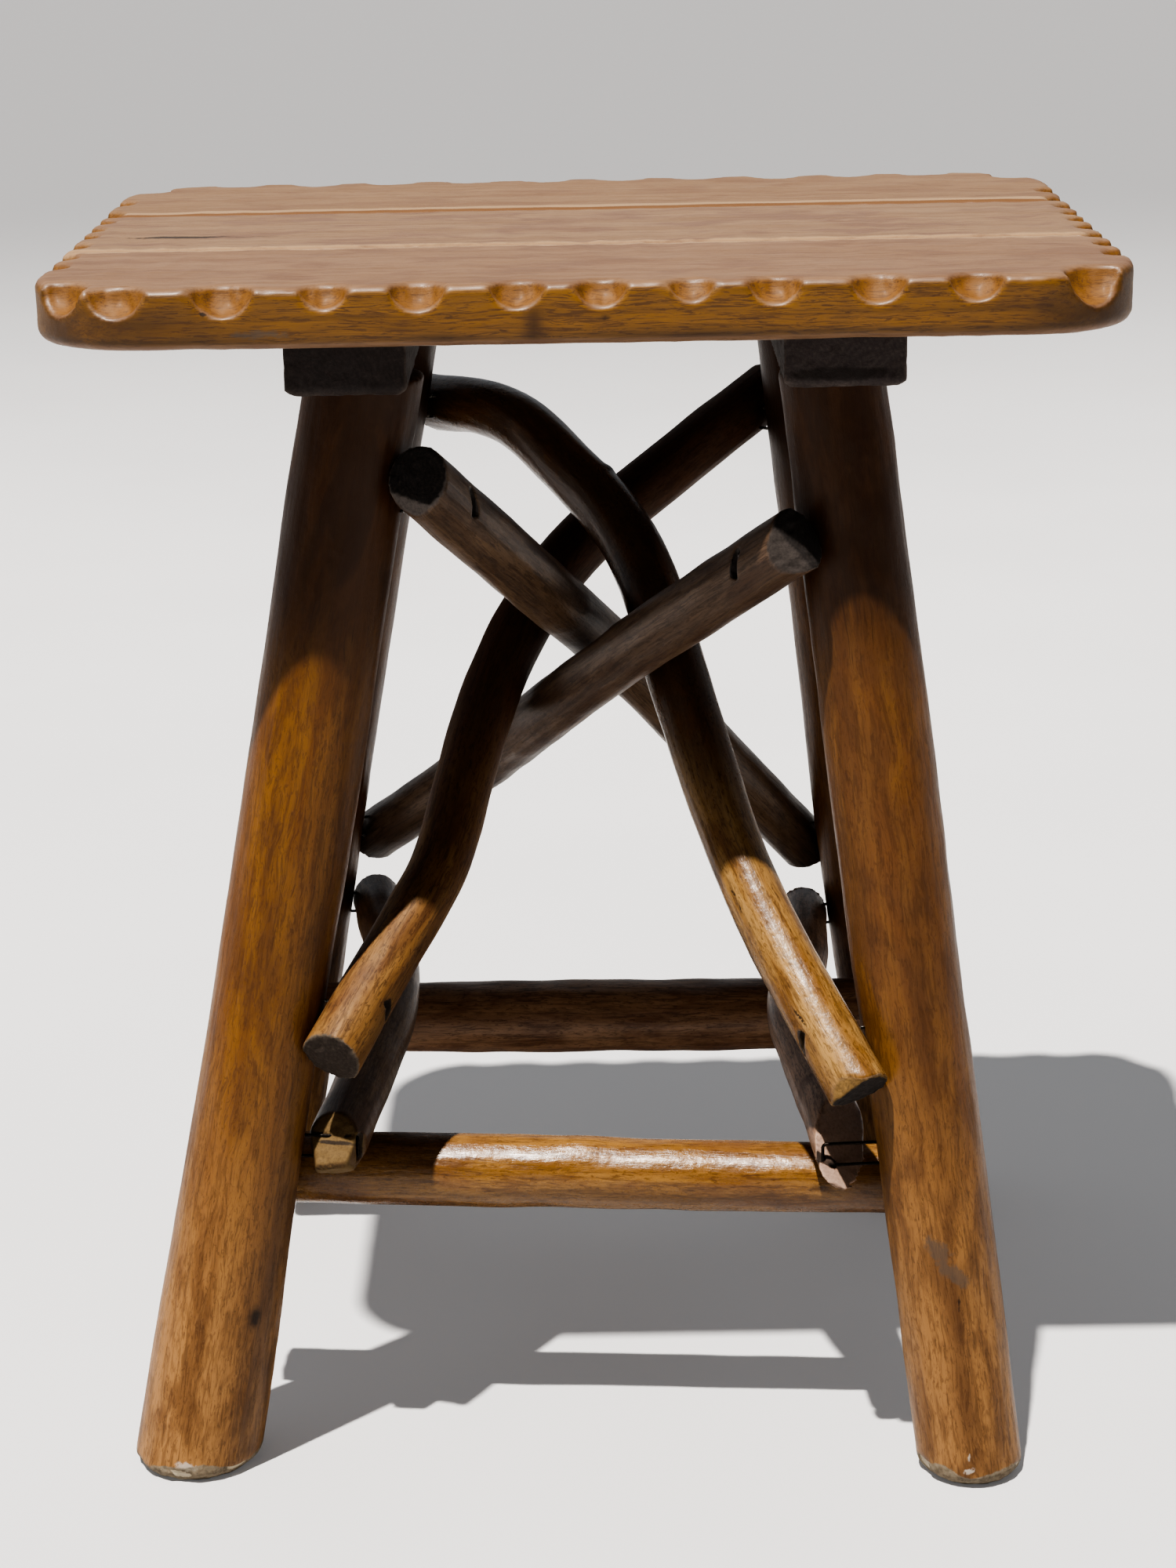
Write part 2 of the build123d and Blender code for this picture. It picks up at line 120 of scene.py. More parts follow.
def ripple(places: Rows, seed: int, lengths: tuple[float, float, float], waves: int = 20) -> Rows:
    """A smooth uneven field, made of plane waves with seeded directions.

    Args:
        places: where the field is read, one row each.
        seed: fixes the directions and phases.
        lengths: how far the field runs before it repeats along each coordinate, in millimetres.
        waves: how many waves are summed.

    Returns:
        The field's value at each place, about -2 to 2.
    """
    chance = np.random.default_rng(seed)
    turns = chance.normal(size=(waves, 3))
    turns /= np.linalg.norm(turns, axis=1)[:, None]
    spread = chance.uniform(0.6, 1.6, size=(waves, 1))
    steps = 2 * pi * turns * spread / (np.array(lengths) * MM)
    total = np.zeros(len(places))
    for step, phase in zip(steps, chance.uniform(0, 2 * pi, waves)):
        total += np.sin(places @ step + phase)
    return total / np.sqrt(waves / 2)


def smooth_step(values: Rows, low: float, high: float) -> Rows:
    """Values eased from 0 at low to 1 at high."""
    share = np.clip((values - low) / (high - low), 0.0, 1.0)
    return share * share * (3 - 2 * share)


def near(offsets: Rows, full: float, none: float) -> Rows:
    """1 where an offset is up to full away from 0, eased to 0 at none."""
    return smooth_step(-abs(offsets), -none, -full)


class CentreLine:
    """The middle line of a pole or stick, found from its own surface, with a steady frame."""

    step = 6 * MM
    end_clear = 1.2
    overrun = 2
    easing_rounds = 4
    settling_rounds = 5

    def __init__(self, points: Rows, girth: float, toward: tuple[float, float, float]) -> None:
        """Follows the middle of the surface from end to end.

        Args:
            points: the surface's points, one row each.
            girth: the stick's diameter, kept clear at both ends, where it is cut aslant.
            toward: the way that the line should run.
        """
        centre = points.mean(0)
        direction = np.linalg.svd(points - centre, full_matrices=False)[2][0]
        if direction @ np.array(toward, float) < 0:
            direction = -direction
        along = (points - centre) @ direction
        clear = self.end_clear * girth
        stations = np.arange(along.min() + clear, along.max() - clear, self.step)
        middles = np.array([points[abs(along - station) < self.step].mean(0) for station in stations])
        for _ in range(self.easing_rounds):
            middles[1:-1] = (middles[:-2] + 2 * middles[1:-1] + middles[2:]) / 4
        lead = (middles[0] - middles[4]) / 4
        tail = (middles[-1] - middles[-5]) / 4
        extra = int(self.overrun * girth / self.step) + 1
        before = [middles[0] + lead * count for count in range(extra, 0, -1)]
        after = [middles[-1] + tail * count for count in range(1, extra + 1)]
        self.middles = np.vstack([before, middles, after])
        steps = np.linalg.norm(np.diff(self.middles, axis=0), axis=1)
        self.lengths = np.concatenate([[0.0], np.cumsum(steps)])
        self.ways = np.gradient(self.middles, self.lengths, axis=0)
        self.ways /= np.linalg.norm(self.ways, axis=1)[:, None]
        self.sides = self.carried_sides()

    def carried_sides(self) -> Rows:
        """A sideways direction at each station that doesn't twist round the line."""
        side = np.cross(self.ways[0], (0.3, 0.2, 1.0))
        sides = []
        for way in self.ways:
            side = side - way * (side @ way)
            side = side / np.linalg.norm(side)
            sides.append(side)
        return np.array(sides)

    def between(self, table: Rows, lengths: Rows) -> Rows:
        """A station table read at any distances along the line."""
        return np.stack([np.interp(lengths, self.lengths, table[:, axis]) for axis in range(3)], axis=1)

    def locate(self, points: Rows) -> tuple[Rows, Rows]:
        """Straightens points.

        Args:
            points: places on the surface, one row each.

        Returns:
            Their places as two distances across the line and one along it, and the line's
            direction beside each.
        """
        gaps = [((points - middle) ** 2).sum(1) for middle in self.middles]
        lengths = self.lengths[np.argmin(gaps, axis=0)]
        for _ in range(self.settling_rounds):
            offsets = points - self.between(self.middles, lengths)
            ways = self.between(self.ways, lengths)
            lengths = lengths + (offsets * ways).sum(1)
        offsets = points - self.between(self.middles, lengths)
        sides = self.between(self.sides, lengths)
        across = np.cross(ways, sides)
        return np.stack([(offsets * sides).sum(1), (offsets * across).sum(1), lengths], axis=1), ways


class Kind(Enum):
    """What a mark is."""

    STAIN = "stain"
    # Darker, redder bands: real dark bands on some pieces, painted shade down the front left leg's right side.
    SHADE = "shade"
    SCUFF = "scuff"
    SMUDGE = "smudge"
    KNOT = "knot"


@dataclass(frozen=True)
class Mark:
    """A mark at one pixel of the view, with half sizes along and across the grain and a rise, in millimetres."""

    kind: Kind
    x: float
    y: float
    length: float
    width: float
    strength: float = 1.0
    slant: float = 0.0
    rise: float = 0.0


def marks(kind: Kind, *rows: tuple[float, ...]) -> tuple[Mark, ...]:
    """Marks of one kind, from the values of each."""
    return tuple(Mark(kind, *row) for row in rows)


def linked(name: str, data: bpy.types.ID | None) -> bpy.types.Object:
    """A new object in the scene."""
    made = bpy.data.objects.new(name, data)
    bpy.context.scene.collection.objects.link(made)
    return made


def evaluated(holder: bpy.types.Object, name: str) -> bpy.types.Mesh:
    """What an object's modifiers make of it, as a mesh of its own; the object goes."""
    blank = holder.data
    mesh = bpy.data.meshes.new_from_object(holder.evaluated_get(bpy.context.evaluated_depsgraph_get()))
    mesh.name = name
    bpy.data.objects.remove(holder)
    bpy.data.meshes.remove(blank)
    return mesh


def merged(node: str) -> bmesh.types.BMesh:
    """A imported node's form with its doubled corners joined."""
    form = bmesh.new()
    form.from_mesh(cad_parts[node].data)
    bmesh.ops.remove_doubles(form, verts=form.verts, dist=MERGE_REACH)
    return form


def fine_mesh(node: str, skin: float, smoothing: int) -> bpy.types.Mesh:
    """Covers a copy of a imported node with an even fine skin.

    Args:
        node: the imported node.
        skin: the size of the skin's squares.
        smoothing: how many rounds ease its edges.

    Returns:
        A closed mesh of the same shape, with its corners slightly worn.
    """
    form = merged(node)
    blank = bpy.data.meshes.new(node + "_blank")
    form.to_mesh(blank)
    form.free()
    holder = linked(node + "_blank", blank)
    cover = holder.modifiers.new("cover", "REMESH")
    cover.mode = "VOXEL"
    cover.voxel_size = skin
    ease = holder.modifiers.new("ease", "SMOOTH")
    ease.factor = 0.5
    ease.iterations = smoothing
    return evaluated(holder, node + "_skin")


def read(items: bpy.types.bpy_prop_collection, name: str) -> Rows:
    """A vector property of many items as rows."""
    values = np.zeros(len(items) * 3)
    items.foreach_get(name, values)
    return values.reshape(-1, 3)


class Timber:
    """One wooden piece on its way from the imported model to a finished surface."""

    clip_margin = 0.01 * MM
    rim_rounds = 3

    def __init__(self, node: str, skin: float, smoothing: int) -> None:
        """Takes an even fine skin of a node.

        Args:
            node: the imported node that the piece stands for.
            skin: the size of the skin's squares.
            smoothing: how many rounds ease its edges.
        """
        self.node = node
        self.mesh = fine_mesh(node, skin, smoothing)
        self.points = read(self.mesh.vertices, "co")
        self.normals = read(self.mesh.vertex_normals, "vector")
        self.places = self.points.copy()
        self.ways = np.tile((1.0, 0.0, 0.0), (len(self.points), 1))
        self.fields = {"rim": self.convexity()}

    def convexity(self) -> Rows:
        """How far each point stands out from its neighbours, above 0 on a rim and below in a dip."""
        edges = np.zeros(len(self.mesh.edges) * 2, int)
        self.mesh.edges.foreach_get("vertices", edges)
        first, second = edges.reshape(-1, 2).T
        run = self.points[second] - self.points[first]
        run /= np.linalg.norm(run, axis=1)[:, None] + 1e-12
        count = np.bincount(first, minlength=len(self.points)) + np.bincount(second, minlength=len(self.points))
        value = np.zeros(len(self.points))
        np.add.at(value, first, -(run * self.normals[first]).sum(1))
        np.add.at(value, second, (run * self.normals[second]).sum(1))
        value /= np.maximum(count, 1)
        for _ in range(self.rim_rounds):
            shared = value.copy()
            np.add.at(shared, first, value[second])
            np.add.at(shared, second, value[first])
            value = shared / (count + 1)
        return value

    def ripple(self, seed: int, *lengths: float, waves: int = 20) -> Rows:
        """An uneven field on the points as they lie."""
        return ripple(self.points, seed, lengths, waves)

    def follow(self, girth: float, toward: tuple[float, float, float]) -> None:
        """Straightens the grain along the piece's own middle line, and finds its cut ends.

        Args:
            girth: the stick's diameter.
            toward: the way that the grain runs.
        """
        self.places, self.ways = CentreLine(self.points, girth, toward).locate(self.points)
        facing = abs((self.normals * self.ways).sum(1))
        self.fields["cut"] = smooth_step(facing, 0.30, 0.52)
        self.fields["facet"] = smooth_step(-facing, -0.90, -0.82)

    def press(self, heights: Rows) -> None:
        """Moves each point along its normal by a height."""
        self.points = self.points + self.normals * heights[:, None]

    def roughen(self, seed: int, swell: float, dents: float, ridges: float) -> None:
        """Gives a turned pole the unevenness of a grown one.

        Args:
            seed: fixes the pattern.
            swell: how far it swells and shrinks along its length.
            dents: the depth of small hollows.
            ridges: the height of the fibres that stand proud.
        """
        keep = 1 - self.fields["cut"]
        wide = ripple(self.places, seed, (60, 60, 150))
        small = ripple(self.places, seed + 1, (16, 16, 34))
        fibre = ripple(self.places, seed + 2, (5, 5, 90), 30)
        chip = ripple(self.places, seed + 3, (5, 5, 5))
        self.press((wide * swell + small * dents + fibre * ridges) * keep / 2 + chip * dents * (1 - keep) / 2)

    def mark(self, spots: tuple[Mark, ...]) -> None:
        """Adds the marks that the view shows on this piece, and raises or sinks its knots."""
        for kind in Kind:
            self.fields.setdefault(kind.value, np.zeros(len(self.points)))
        for one in spots:
            spot = VIEW.touch(self.points, one.x, one.y)
            normal, way = Vector(self.normals[spot]), Vector(self.ways[spot])
            side = normal.cross(way).normalized()
            along, turn = side.cross(normal), radians(one.slant)
            run, across = along * cos(turn) + side * sin(turn), side * cos(turn) - along * sin(turn)
            length, width = one.length * MM, one.width * MM
            offsets = self.points - self.points[spot]
            reach = sum((offsets @ np.array(axis) / size) ** 2
                        for axis, size in ((run, length), (across, width), (normal, 2 * width + length)))
            value = np.exp(-reach)
            self.fields[one.kind.value] = np.maximum(self.fields[one.kind.value], value * one.strength)
            if one.rise:
                self.press(value * (one.rise * MM))

    def finish(self, material: bpy.types.Material, slot: str) -> None:
        """Writes the shaped skin back, gives it its finish and hands it to the frame.

        Args:
            material: the piece's own finish.
            slot: not used.
        """
        low, high = (np.array(corner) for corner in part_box(self.node))
        self.points = np.clip(self.points, low + self.clip_margin, high - self.clip_margin)
        self.mesh.vertices.foreach_set("co", self.points.ravel())
        grain = self.mesh.attributes.new("grain_place", "FLOAT_VECTOR", "POINT")
        grain.data.foreach_set("vector", self.places.ravel())
        for name, values in self.fields.items():
            self.mesh.attributes.new(name, "FLOAT", "POINT").data.foreach_set("value", values)
        self.mesh.materials.clear()
        self.mesh.materials.append(material)
        self.mesh.shade_smooth()
        self.mesh.update()
        piece = linked(self.node + "_finished", self.mesh)
        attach(piece, "root")
        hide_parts(self.node)
        log.info("%s: %d faces", piece.name, len(self.mesh.polygons))


class Wiring:
    """Short calls for adding and joining the nodes of one tree."""

    def __init__(self, tree: Tree) -> None:
        """Takes the tree to work on."""
        self.tree = tree

    def feed(self, socket: Socket, value: object) -> None:
        """Joins a socket to another one, or sets its constant."""
        if isinstance(value, Socket):
            self.tree.links.new(value, socket)
        elif isinstance(value, tuple) and len(value) == 3 and socket.type == "RGBA":
            socket.default_value = (*value, 1.0)
        else:
            socket.default_value = value

    def node(self, kind: str, feeds: dict | None = None, **settings: object) -> bpy.types.Node:
        """Adds a node.

        Args:
            kind: the node's type.
            feeds: values or sockets for its inputs, by name or number.
            **settings: the node's own properties.

        Returns:
            The node.
        """
        made = self.tree.nodes.new(kind)
        for name, value in settings.items():
            setattr(made, name, value)
        for key, value in (feeds or {}).items():
            self.feed(made.inputs[key], value)
        return made

    def out(self, kind: str, feeds: dict | None = None, **settings: object) -> Socket:
        """The first result of an added node."""
        return self.node(kind, feeds, **settings).outputs[0]

    def math(self, operation: str, *values: object, clamp: bool = False) -> Socket:
        """The result of a sum on one to three values."""
        return self.out("ShaderNodeMath", dict(enumerate(values)), operation=operation, use_clamp=clamp)

    def times(self, value: object, share: object) -> Socket:
        """A value multiplied by another."""
        return self.math("MULTIPLY", value, share)

    def raised(self, value: object, share: object, base: object) -> Socket:
        """A value multiplied by a share and added to a base."""
        return self.math("MULTIPLY_ADD", value, share, base)

    def about_half(self, value: Socket, share: object, base: object) -> Socket:
        """A base moved up or down by a share of a value's distance from a half."""
        return self.raised(self.math("SUBTRACT", value, 0.5), share, base)

    def vector(self, operation: str, *values: object) -> Socket:
        """The result of a vector sum."""
        return self.out("ShaderNodeVectorMath", dict(enumerate(values)), operation=operation)

    def combine(self, *values: object) -> Socket:
        """A vector of three values."""
        return self.out("ShaderNodeCombineXYZ", dict(enumerate(values)))

    def noise(self, place: object, scale: float, detail: float, rough: float = 0.5, twist: float = 0.0) -> Socket:
        """A cloudy value from 0 to 1."""
        feeds = {"Vector": place, "Scale": scale, "Detail": detail, "Roughness": rough, "Distortion": twist}
        return self.out("ShaderNodeTexNoise", feeds)

    def span(self, value: object, low: float, high: float, first: float = 0.0, last: float = 1.0) -> Socket:
        """A value eased from one range to another."""
        feeds = {"Value": value, "From Min": low, "From Max": high, "To Min": first, "To Max": last}
        return self.out("ShaderNodeMapRange", feeds, interpolation_type="SMOOTHSTEP")

    def blend(self, share: object, first: object, second: object) -> Socket:
        """Two colours mixed by a share of the second."""
        return self.node("ShaderNodeMix", {0: share, 6: first, 7: second}, data_type="RGBA").outputs[2]

    def field(self, name: str) -> Socket:
        """A value stored on the piece's points."""
        return self.node("ShaderNodeAttribute", attribute_name=name).outputs["Fac"]

    def place(self) -> Socket:
        """The straightened grain coordinates stored on the piece's points."""
        return self.node("ShaderNodeAttribute", attribute_name="grain_place").outputs["Vector"]

    def position(self) -> Socket:
        """The object coordinates."""
        return self.node("ShaderNodeTexCoord").outputs["Object"]

    def part(self, vector: Socket, axis: int) -> Socket:
        """One part of a vector."""
        return self.node("ShaderNodeSeparateXYZ", {0: vector}).outputs[axis]

    def camera_only(self, value: float) -> Socket:
        """A value that counts only where the camera looks straight at the surface."""
        return self.times(self.node("ShaderNodeLightPath").outputs["Is Camera Ray"], value)

    def group(self, tree: Tree, **feeds: object) -> bpy.types.NodeOutputs:
        """The results of a shared group, placed with its own values."""
        return self.node("ShaderNodeGroup", feeds, node_tree=tree).outputs

    def bump(self, height: Socket, strength: float, distance: float) -> Socket:
        """A fine relief."""
        return self.out("ShaderNodeBump", {"Height": height, "Strength": strength, "Distance": distance})

    def surface(self, **feeds: object) -> None:
        """Ends a material with a principled surface; an input's spaces are typed as underscores."""
        named = {name.replace("_", " "): value for name, value in feeds.items()}
        self.node("ShaderNodeOutputMaterial", {"Surface": self.out("ShaderNodeBsdfPrincipled", named)})


def start_material(name: str) -> tuple[bpy.types.Material, Wiring]:
    """A new material without nodes, and its wiring."""
    material = bpy.data.materials.new(name)
    material.use_nodes = True
    material.node_tree.nodes.clear()
    return material, Wiring(material.node_tree)


def start_tree(kind: str, name: str, takes: dict[str, tuple[str, ...]],
               gives: dict[str, tuple[str, ...]]) -> tuple[Wiring, bpy.types.NodeOutputs, bpy.types.NodeInputs]:
    """Opens a shared tree.

    Args:
        kind: Shader or Geometry.
        name: what the tree makes.
        takes: the names of its inputs, by their type.
        gives: the names of its results, by their type.

    Returns:
        The wiring, the sockets that hold the inputs and the sockets that take the results.
    """
    tree = bpy.data.node_groups.new(name, kind + "NodeTree")
    for way, sorts in (("INPUT", takes), ("OUTPUT", gives)):
        for sort, sockets in sorts.items():
            for socket in sockets:
                tree.interface.new_socket(name=socket, in_out=way, socket_type="NodeSocket" + sort)
    wires = Wiring(tree)
    return wires, wires.node("NodeGroupInput").outputs, wires.node("NodeGroupOutput").inputs


class Effects:
    """The shader groups that the wood finishes share."""

    def __init__(self) -> None:
        """Builds each group once."""
        self.grain = self.make_grain()
        self.rings = self.make_rings()
        self.wear = self.make_wear()
        self.varnish = self.make_varnish()

    def start(self, name: str, takes: tuple[str, ...], gives: tuple[str, ...]) -> tuple:
        """Opens a group that takes a place and some numbers."""
        return start_tree("Shader", name, {"Vector": ("Place",), "Float": takes}, {"Float": gives})

    def make_grain(self) -> Tree:
        """Fibres, short dashes, broader streaks and loose clouds that sway along the grain."""
        wires, given, result = self.start("swaying_grain", ("Across", "Along", "Sway", "Seed"),
                                          ("Fibre", "Dash", "Streak", "Cloud"))
        place, seed = given["Place"], given["Seed"]
        ratio = wires.combine(given["Across"], given["Across"], given["Along"])
        shift = wires.combine(seed, 0.0, seed)
        stretched = wires.vector("ADD", wires.vector("MULTIPLY", place, (60.0, 60.0, 34.0)), shift)
        drift = wires.node("ShaderNodeTexNoise", {"Vector": stretched, "Scale": 1.0, "Detail": 2.0}).outputs["Color"]
        drift = wires.vector("SUBTRACT", drift, (0.5, 0.5, 0.5))
        drift = wires.out("ShaderNodeVectorMath", {0: drift, "Scale": given["Sway"]}, operation="SCALE")
        drawn = wires.vector("ADD", wires.vector("MULTIPLY", wires.vector("ADD", place, drift), ratio), shift)
        short = wires.vector("MULTIPLY", drawn, (1.4, 1.4, 4.0))
        loose = wires.vector("ADD", wires.vector("MULTIPLY", place, (75.0, 75.0, 26.0)), shift)
        wires.feed(result["Fibre"], wires.noise(drawn, 1.0, 5.0, 0.66, 0.9))
        wires.feed(result["Dash"], wires.noise(short, 1.0, 4.0, 0.66, 1.1))
        wires.feed(result["Streak"], wires.noise(drawn, 0.2, 4.0, 0.58, 0.4))
        wires.feed(result["Cloud"], wires.noise(loose, 1.0, 4.0, 0.62, 0.5))
        return wires.tree

    def make_rings(self) -> Tree:
        """Growth rings round a pole's heart, for a cut end."""
        wires, given, result = self.start("growth_rings", ("Spacing", "Wobble"), ("Ring", "Ray"))
        heart = wires.vector("SUBTRACT", given["Place"], (1.6 * MM, -1.1 * MM, 0.0))
        flat = wires.vector("MULTIPLY", heart, (1.0, 1.0, 0.0))
        reach = wires.node("ShaderNodeVectorMath", {0: flat}, operation="LENGTH").outputs["Value"]
        bent = wires.raised(wires.noise(given["Place"], 150.0, 3.0, 0.6), given["Wobble"], reach)
        turn = wires.times(wires.math("DIVIDE", bent, given["Spacing"]), 2 * pi)
        wires.feed(result["Ring"], wires.raised(wires.math("SINE", turn), 0.5, 0.5))
        outward = wires.vector("MULTIPLY", flat, (40.0, 40.0, 0.0))
        spokes = wires.vector("ADD", wires.vector("NORMALIZE", flat), outward)
        wires.feed(result["Ray"], wires.noise(spokes, 7.0, 3.0, 0.6))
        return wires.tree

    def make_wear(self) -> Tree:
        """A stored field with a broken edge, for pale rims (rubbed wear and painted highlight), scuffs and stains."""
        wires, given, result = self.start("broken_edge", ("Field", "Fineness", "Break", "Threshold"), ("Mask",))
        crumb = wires.noise(given["Place"], given["Fineness"], 4.0, 0.65)
        lifted = wires.about_half(crumb, given["Break"], given["Field"])
        over = wires.math("SUBTRACT", lifted, given["Threshold"])
        wires.feed(result["Mask"], wires.math("MULTIPLY", over, 4.0, clamp=True))
        return wires.tree

    def make_varnish(self) -> Tree:
        """How rough the varnish is from place to place."""
        wires, given, result = self.start("varnish", ("Gloss", "Spread", "Fibre"), ("Roughness",))
        cloud = wires.noise(given["Place"], 45.0, 4.0, 0.6)
        rub = wires.noise(given["Place"], 520.0, 3.0, 0.6)
        rough = wires.about_half(wires.raised(rub, 0.45, wires.times(cloud, 0.55)), given["Spread"], given["Gloss"])
        rough = wires.about_half(given["Fibre"], -0.16, rough)
        wires.feed(result["Roughness"], wires.math("MINIMUM", rough, 0.95))
        return wires.tree


@dataclass(frozen=True)
class WoodFinish:
    """One wooden surface: its colours, the scale of its grain, its varnish and its cut ends."""

    name: str
    mid: Colour
    pale: Colour
    dark: Colour
    blush: Colour
    seed: float = 0.0
    across: float = 700.0
    along: float = 50.0
    sway: float = 2.2 * MM
    fibre_depth: float = 0.5
    dash_depth: float = 0.55
    cloud_share: float = 0.7
    gloss: float = 0.42
    shine: float = 0.34
    spread: float = 0.3
    coat: float = 0.06
    coat_roughness: float = 0.25
    bump: float = 0.4
    pebble: float = 1.0
    end_dark: Colour = (0.012, 0.009, 0.008)
    end_pale: Colour = (0.05, 0.038, 0.030)
    ring_spacing: float = 1.9 * MM
    ring_wobble: float = 4.5 * MM
    ring_share: float = 0.35
    facet: Colour = (0.17, 0.14, 0.12)
    # The rim colour on convex edges: partly rubbed wear, partly painted highlight.
    rim: Colour = (0.30, 0.20, 0.13)
    rim_amount: float = 0.4
    scuff: Colour = (0.42, 0.38, 0.33)
    smudge: Colour = (0.075, 0.058, 0.045)
    stain: Colour = (0.010, 0.005, 0.003)
    # The foot colour, laid below the foot height: paler towards the floor, partly wear, partly painted light from the
    # floor's bounce.
    foot: Colour | None = None
    foot_height: float = 0.20
    # The crown colour, laid from the painted shade height up: painted shade where the seat's shadow falls on the
    # upper part.
    crown: Colour | None = None
    painted_shade_height: float = 0.30
    painted_shade_share: float = 0.5
    chipped: Colour | None = None
    flank: Colour | None = None
    scoop: Colour | None = None
    seam: Colour | None = None
    seam_edge: Colour | None = None


def shaded(colour: Colour, share: float) -> Colour:
    """A colour made darker or paler."""
    return tuple(part * share for part in colour)


class WoodShader:
    """A wooden surface's material; its colour is laid on layer by layer."""

    def __init__(self, finish: WoodFinish, effects: Effects) -> None:
        """Builds the material from the piece's stored grain and marks.

        Args:
            finish: the surface's colours and amounts.
            effects: the shared groups.
        """
        self.finish, self.effects = finish, effects
        self.material, self.wires = start_material(finish.name)
        self.place = self.wires.place()
        grain = self.wires.group(effects.grain, Place=self.place, Across=finish.across, Along=finish.along,
                                 Sway=finish.sway, Seed=finish.seed)
        self.fibre, self.dash = grain["Fibre"], grain["Dash"]
        self.streak, self.cloud = grain["Streak"], grain["Cloud"]
        self.crumb = self.wires.noise(self.place, 800.0, 4.0, 0.7)
        self.colour = self.wires.blend(self.wires.span(self.streak, 0.36, 0.62), finish.mid, finish.pale)
        self.timber()
        self.parts_of_piece()
        self.cut_faces()
        self.marks_of_use()
        self.varnish()

    def lay(self, share: object, colour: object) -> None:
        """Lays a colour over the one so far, as far as a share says."""
        self.colour = self.wires.blend(share, self.colour, colour)

    def wear(self, where: Socket, fineness: float, crumble: float, threshold: float, share: object,
             colour: object) -> None:
        """Lays a colour with a broken edge.

        Args:
            where: the value that says where it lies.
            fineness: how small the crumbs of its edge are.
            crumble: how far the edge breaks up.
            threshold: the value at which it starts.
            share: how much of it shows.
            colour: the colour.
        """
        mask = self.wires.group(self.effects.wear, Place=self.place, Field=where, Fineness=fineness, Break=crumble,
                                Threshold=threshold)["Mask"]
        self.lay(self.wires.times(mask, share), colour)

    def timber(self) -> None:
        """The timber: a paler foot (partly wear, partly painted light) and painted shade on the top, each with a
        ragged limit, then clouds, darker bands (real ones and painted shade), fibres and dashes.
        """
        finish, wires = self.finish, self.wires
        ragged = wires.about_half(self.fibre, 0.08, wires.part(wires.position(), 2))
        # Paler foot: partly wear, partly painted light.
        if finish.foot:
            self.lay(wires.span(ragged, finish.foot_height, 0.03, 0.0, 0.8), finish.foot)
        # Painted shade: the upper part darkens above a ragged height, standing in for the seat's shadow.
        if finish.crown:
            low = finish.painted_shade_height
            self.lay(wires.span(ragged, low, low + 0.05, 0.0, finish.painted_shade_share), finish.crown)
        self.lay(wires.span(self.cloud, 0.45, 0.64, 0.0, finish.cloud_share), finish.blush)
        # Darker, redder bands: real ones, and painted shade down the front left leg's right side.
        self.lay(wires.times(wires.field("shade"), 0.8), finish.blush)
        self.lay(wires.span(self.fibre, 0.53, 0.38, 0.0, finish.fibre_depth), finish.dark)
        self.lay(wires.span(self.dash, 0.48, 0.38, 0.0, finish.dash_depth), finish.dark)

    def parts_of_piece(self) -> None:
        """The piece's upright faces, scoops and seams, where it has them."""
        finish, wires, plain = self.finish, self.wires, self.colour
        if finish.flank:
            self.colour = wires.blend(wires.span(self.streak, 0.34, 0.64), finish.flank, shaded(finish.flank, 1.55))
            self.lay(wires.times(wires.field("shade"), 0.75), shaded(finish.dark, 0.5))
            self.lay(wires.span(self.dash, 0.50, 0.40, 0.0, 0.7), finish.dark)
            self.lay(wires.span(self.fibre, 0.48, 0.36, 0.0, 0.45), finish.dark)
            self.colour = wires.blend(wires.field("flank"), plain, self.colour)
        if finish.scoop:
            dash = wires.span(self.dash, 0.52, 0.38, 0.0, 0.55)
            self.lay(wires.field("scoop"), wires.blend(dash, finish.scoop, finish.dark))
        if finish.seam and finish.seam_edge:
            self.wear(wires.field("seam_pale"), 110.0, 0.9, 0.26, 0.75, finish.seam_edge)
            self.lay(wires.times(wires.field("seam"), 0.9), finish.seam)

    def cut_faces(self) -> None:
        """Sawn ends with their rings, and the knife facets round them."""
        finish, wires = self.finish, self.wires
        rings = wires.group(self.effects.rings, Place=self.place, Spacing=finish.ring_spacing,
                            Wobble=finish.ring_wobble)
        worn = wires.times(wires.span(rings["Ray"], 0.45, 0.7), 0.5)
        share = wires.math("ADD", wires.times(rings["Ring"], finish.ring_share), worn, clamp=True)
        share = wires.times(share, wires.span(self.crumb, 0.3, 0.75))
        face = wires.blend(share, finish.end_dark, finish.end_pale)
        carved = wires.blend(wires.span(self.crumb, 0.4, 0.7, 0.0, 0.45), finish.facet, finish.end_dark)
        self.lay(wires.field("cut"), wires.blend(wires.field("facet"), face, carved))

    def marks_of_use(self) -> None:
        """Stains, knots, pale rims (partly rubbed wear, partly painted highlight), smudges, scuffs and the bare wood
        of chipped feet.
        """
        finish, wires = self.finish, self.wires
        self.wear(wires.field("stain"), 420.0, 0.75, 0.34, 0.85, finish.stain)
        knot = wires.raised(wires.noise(self.place, 300.0, 3.0, 0.6), 0.5, wires.field("knot"))
        self.lay(wires.span(knot, 0.42, 1.1, 0.0, 0.92), finish.stain)
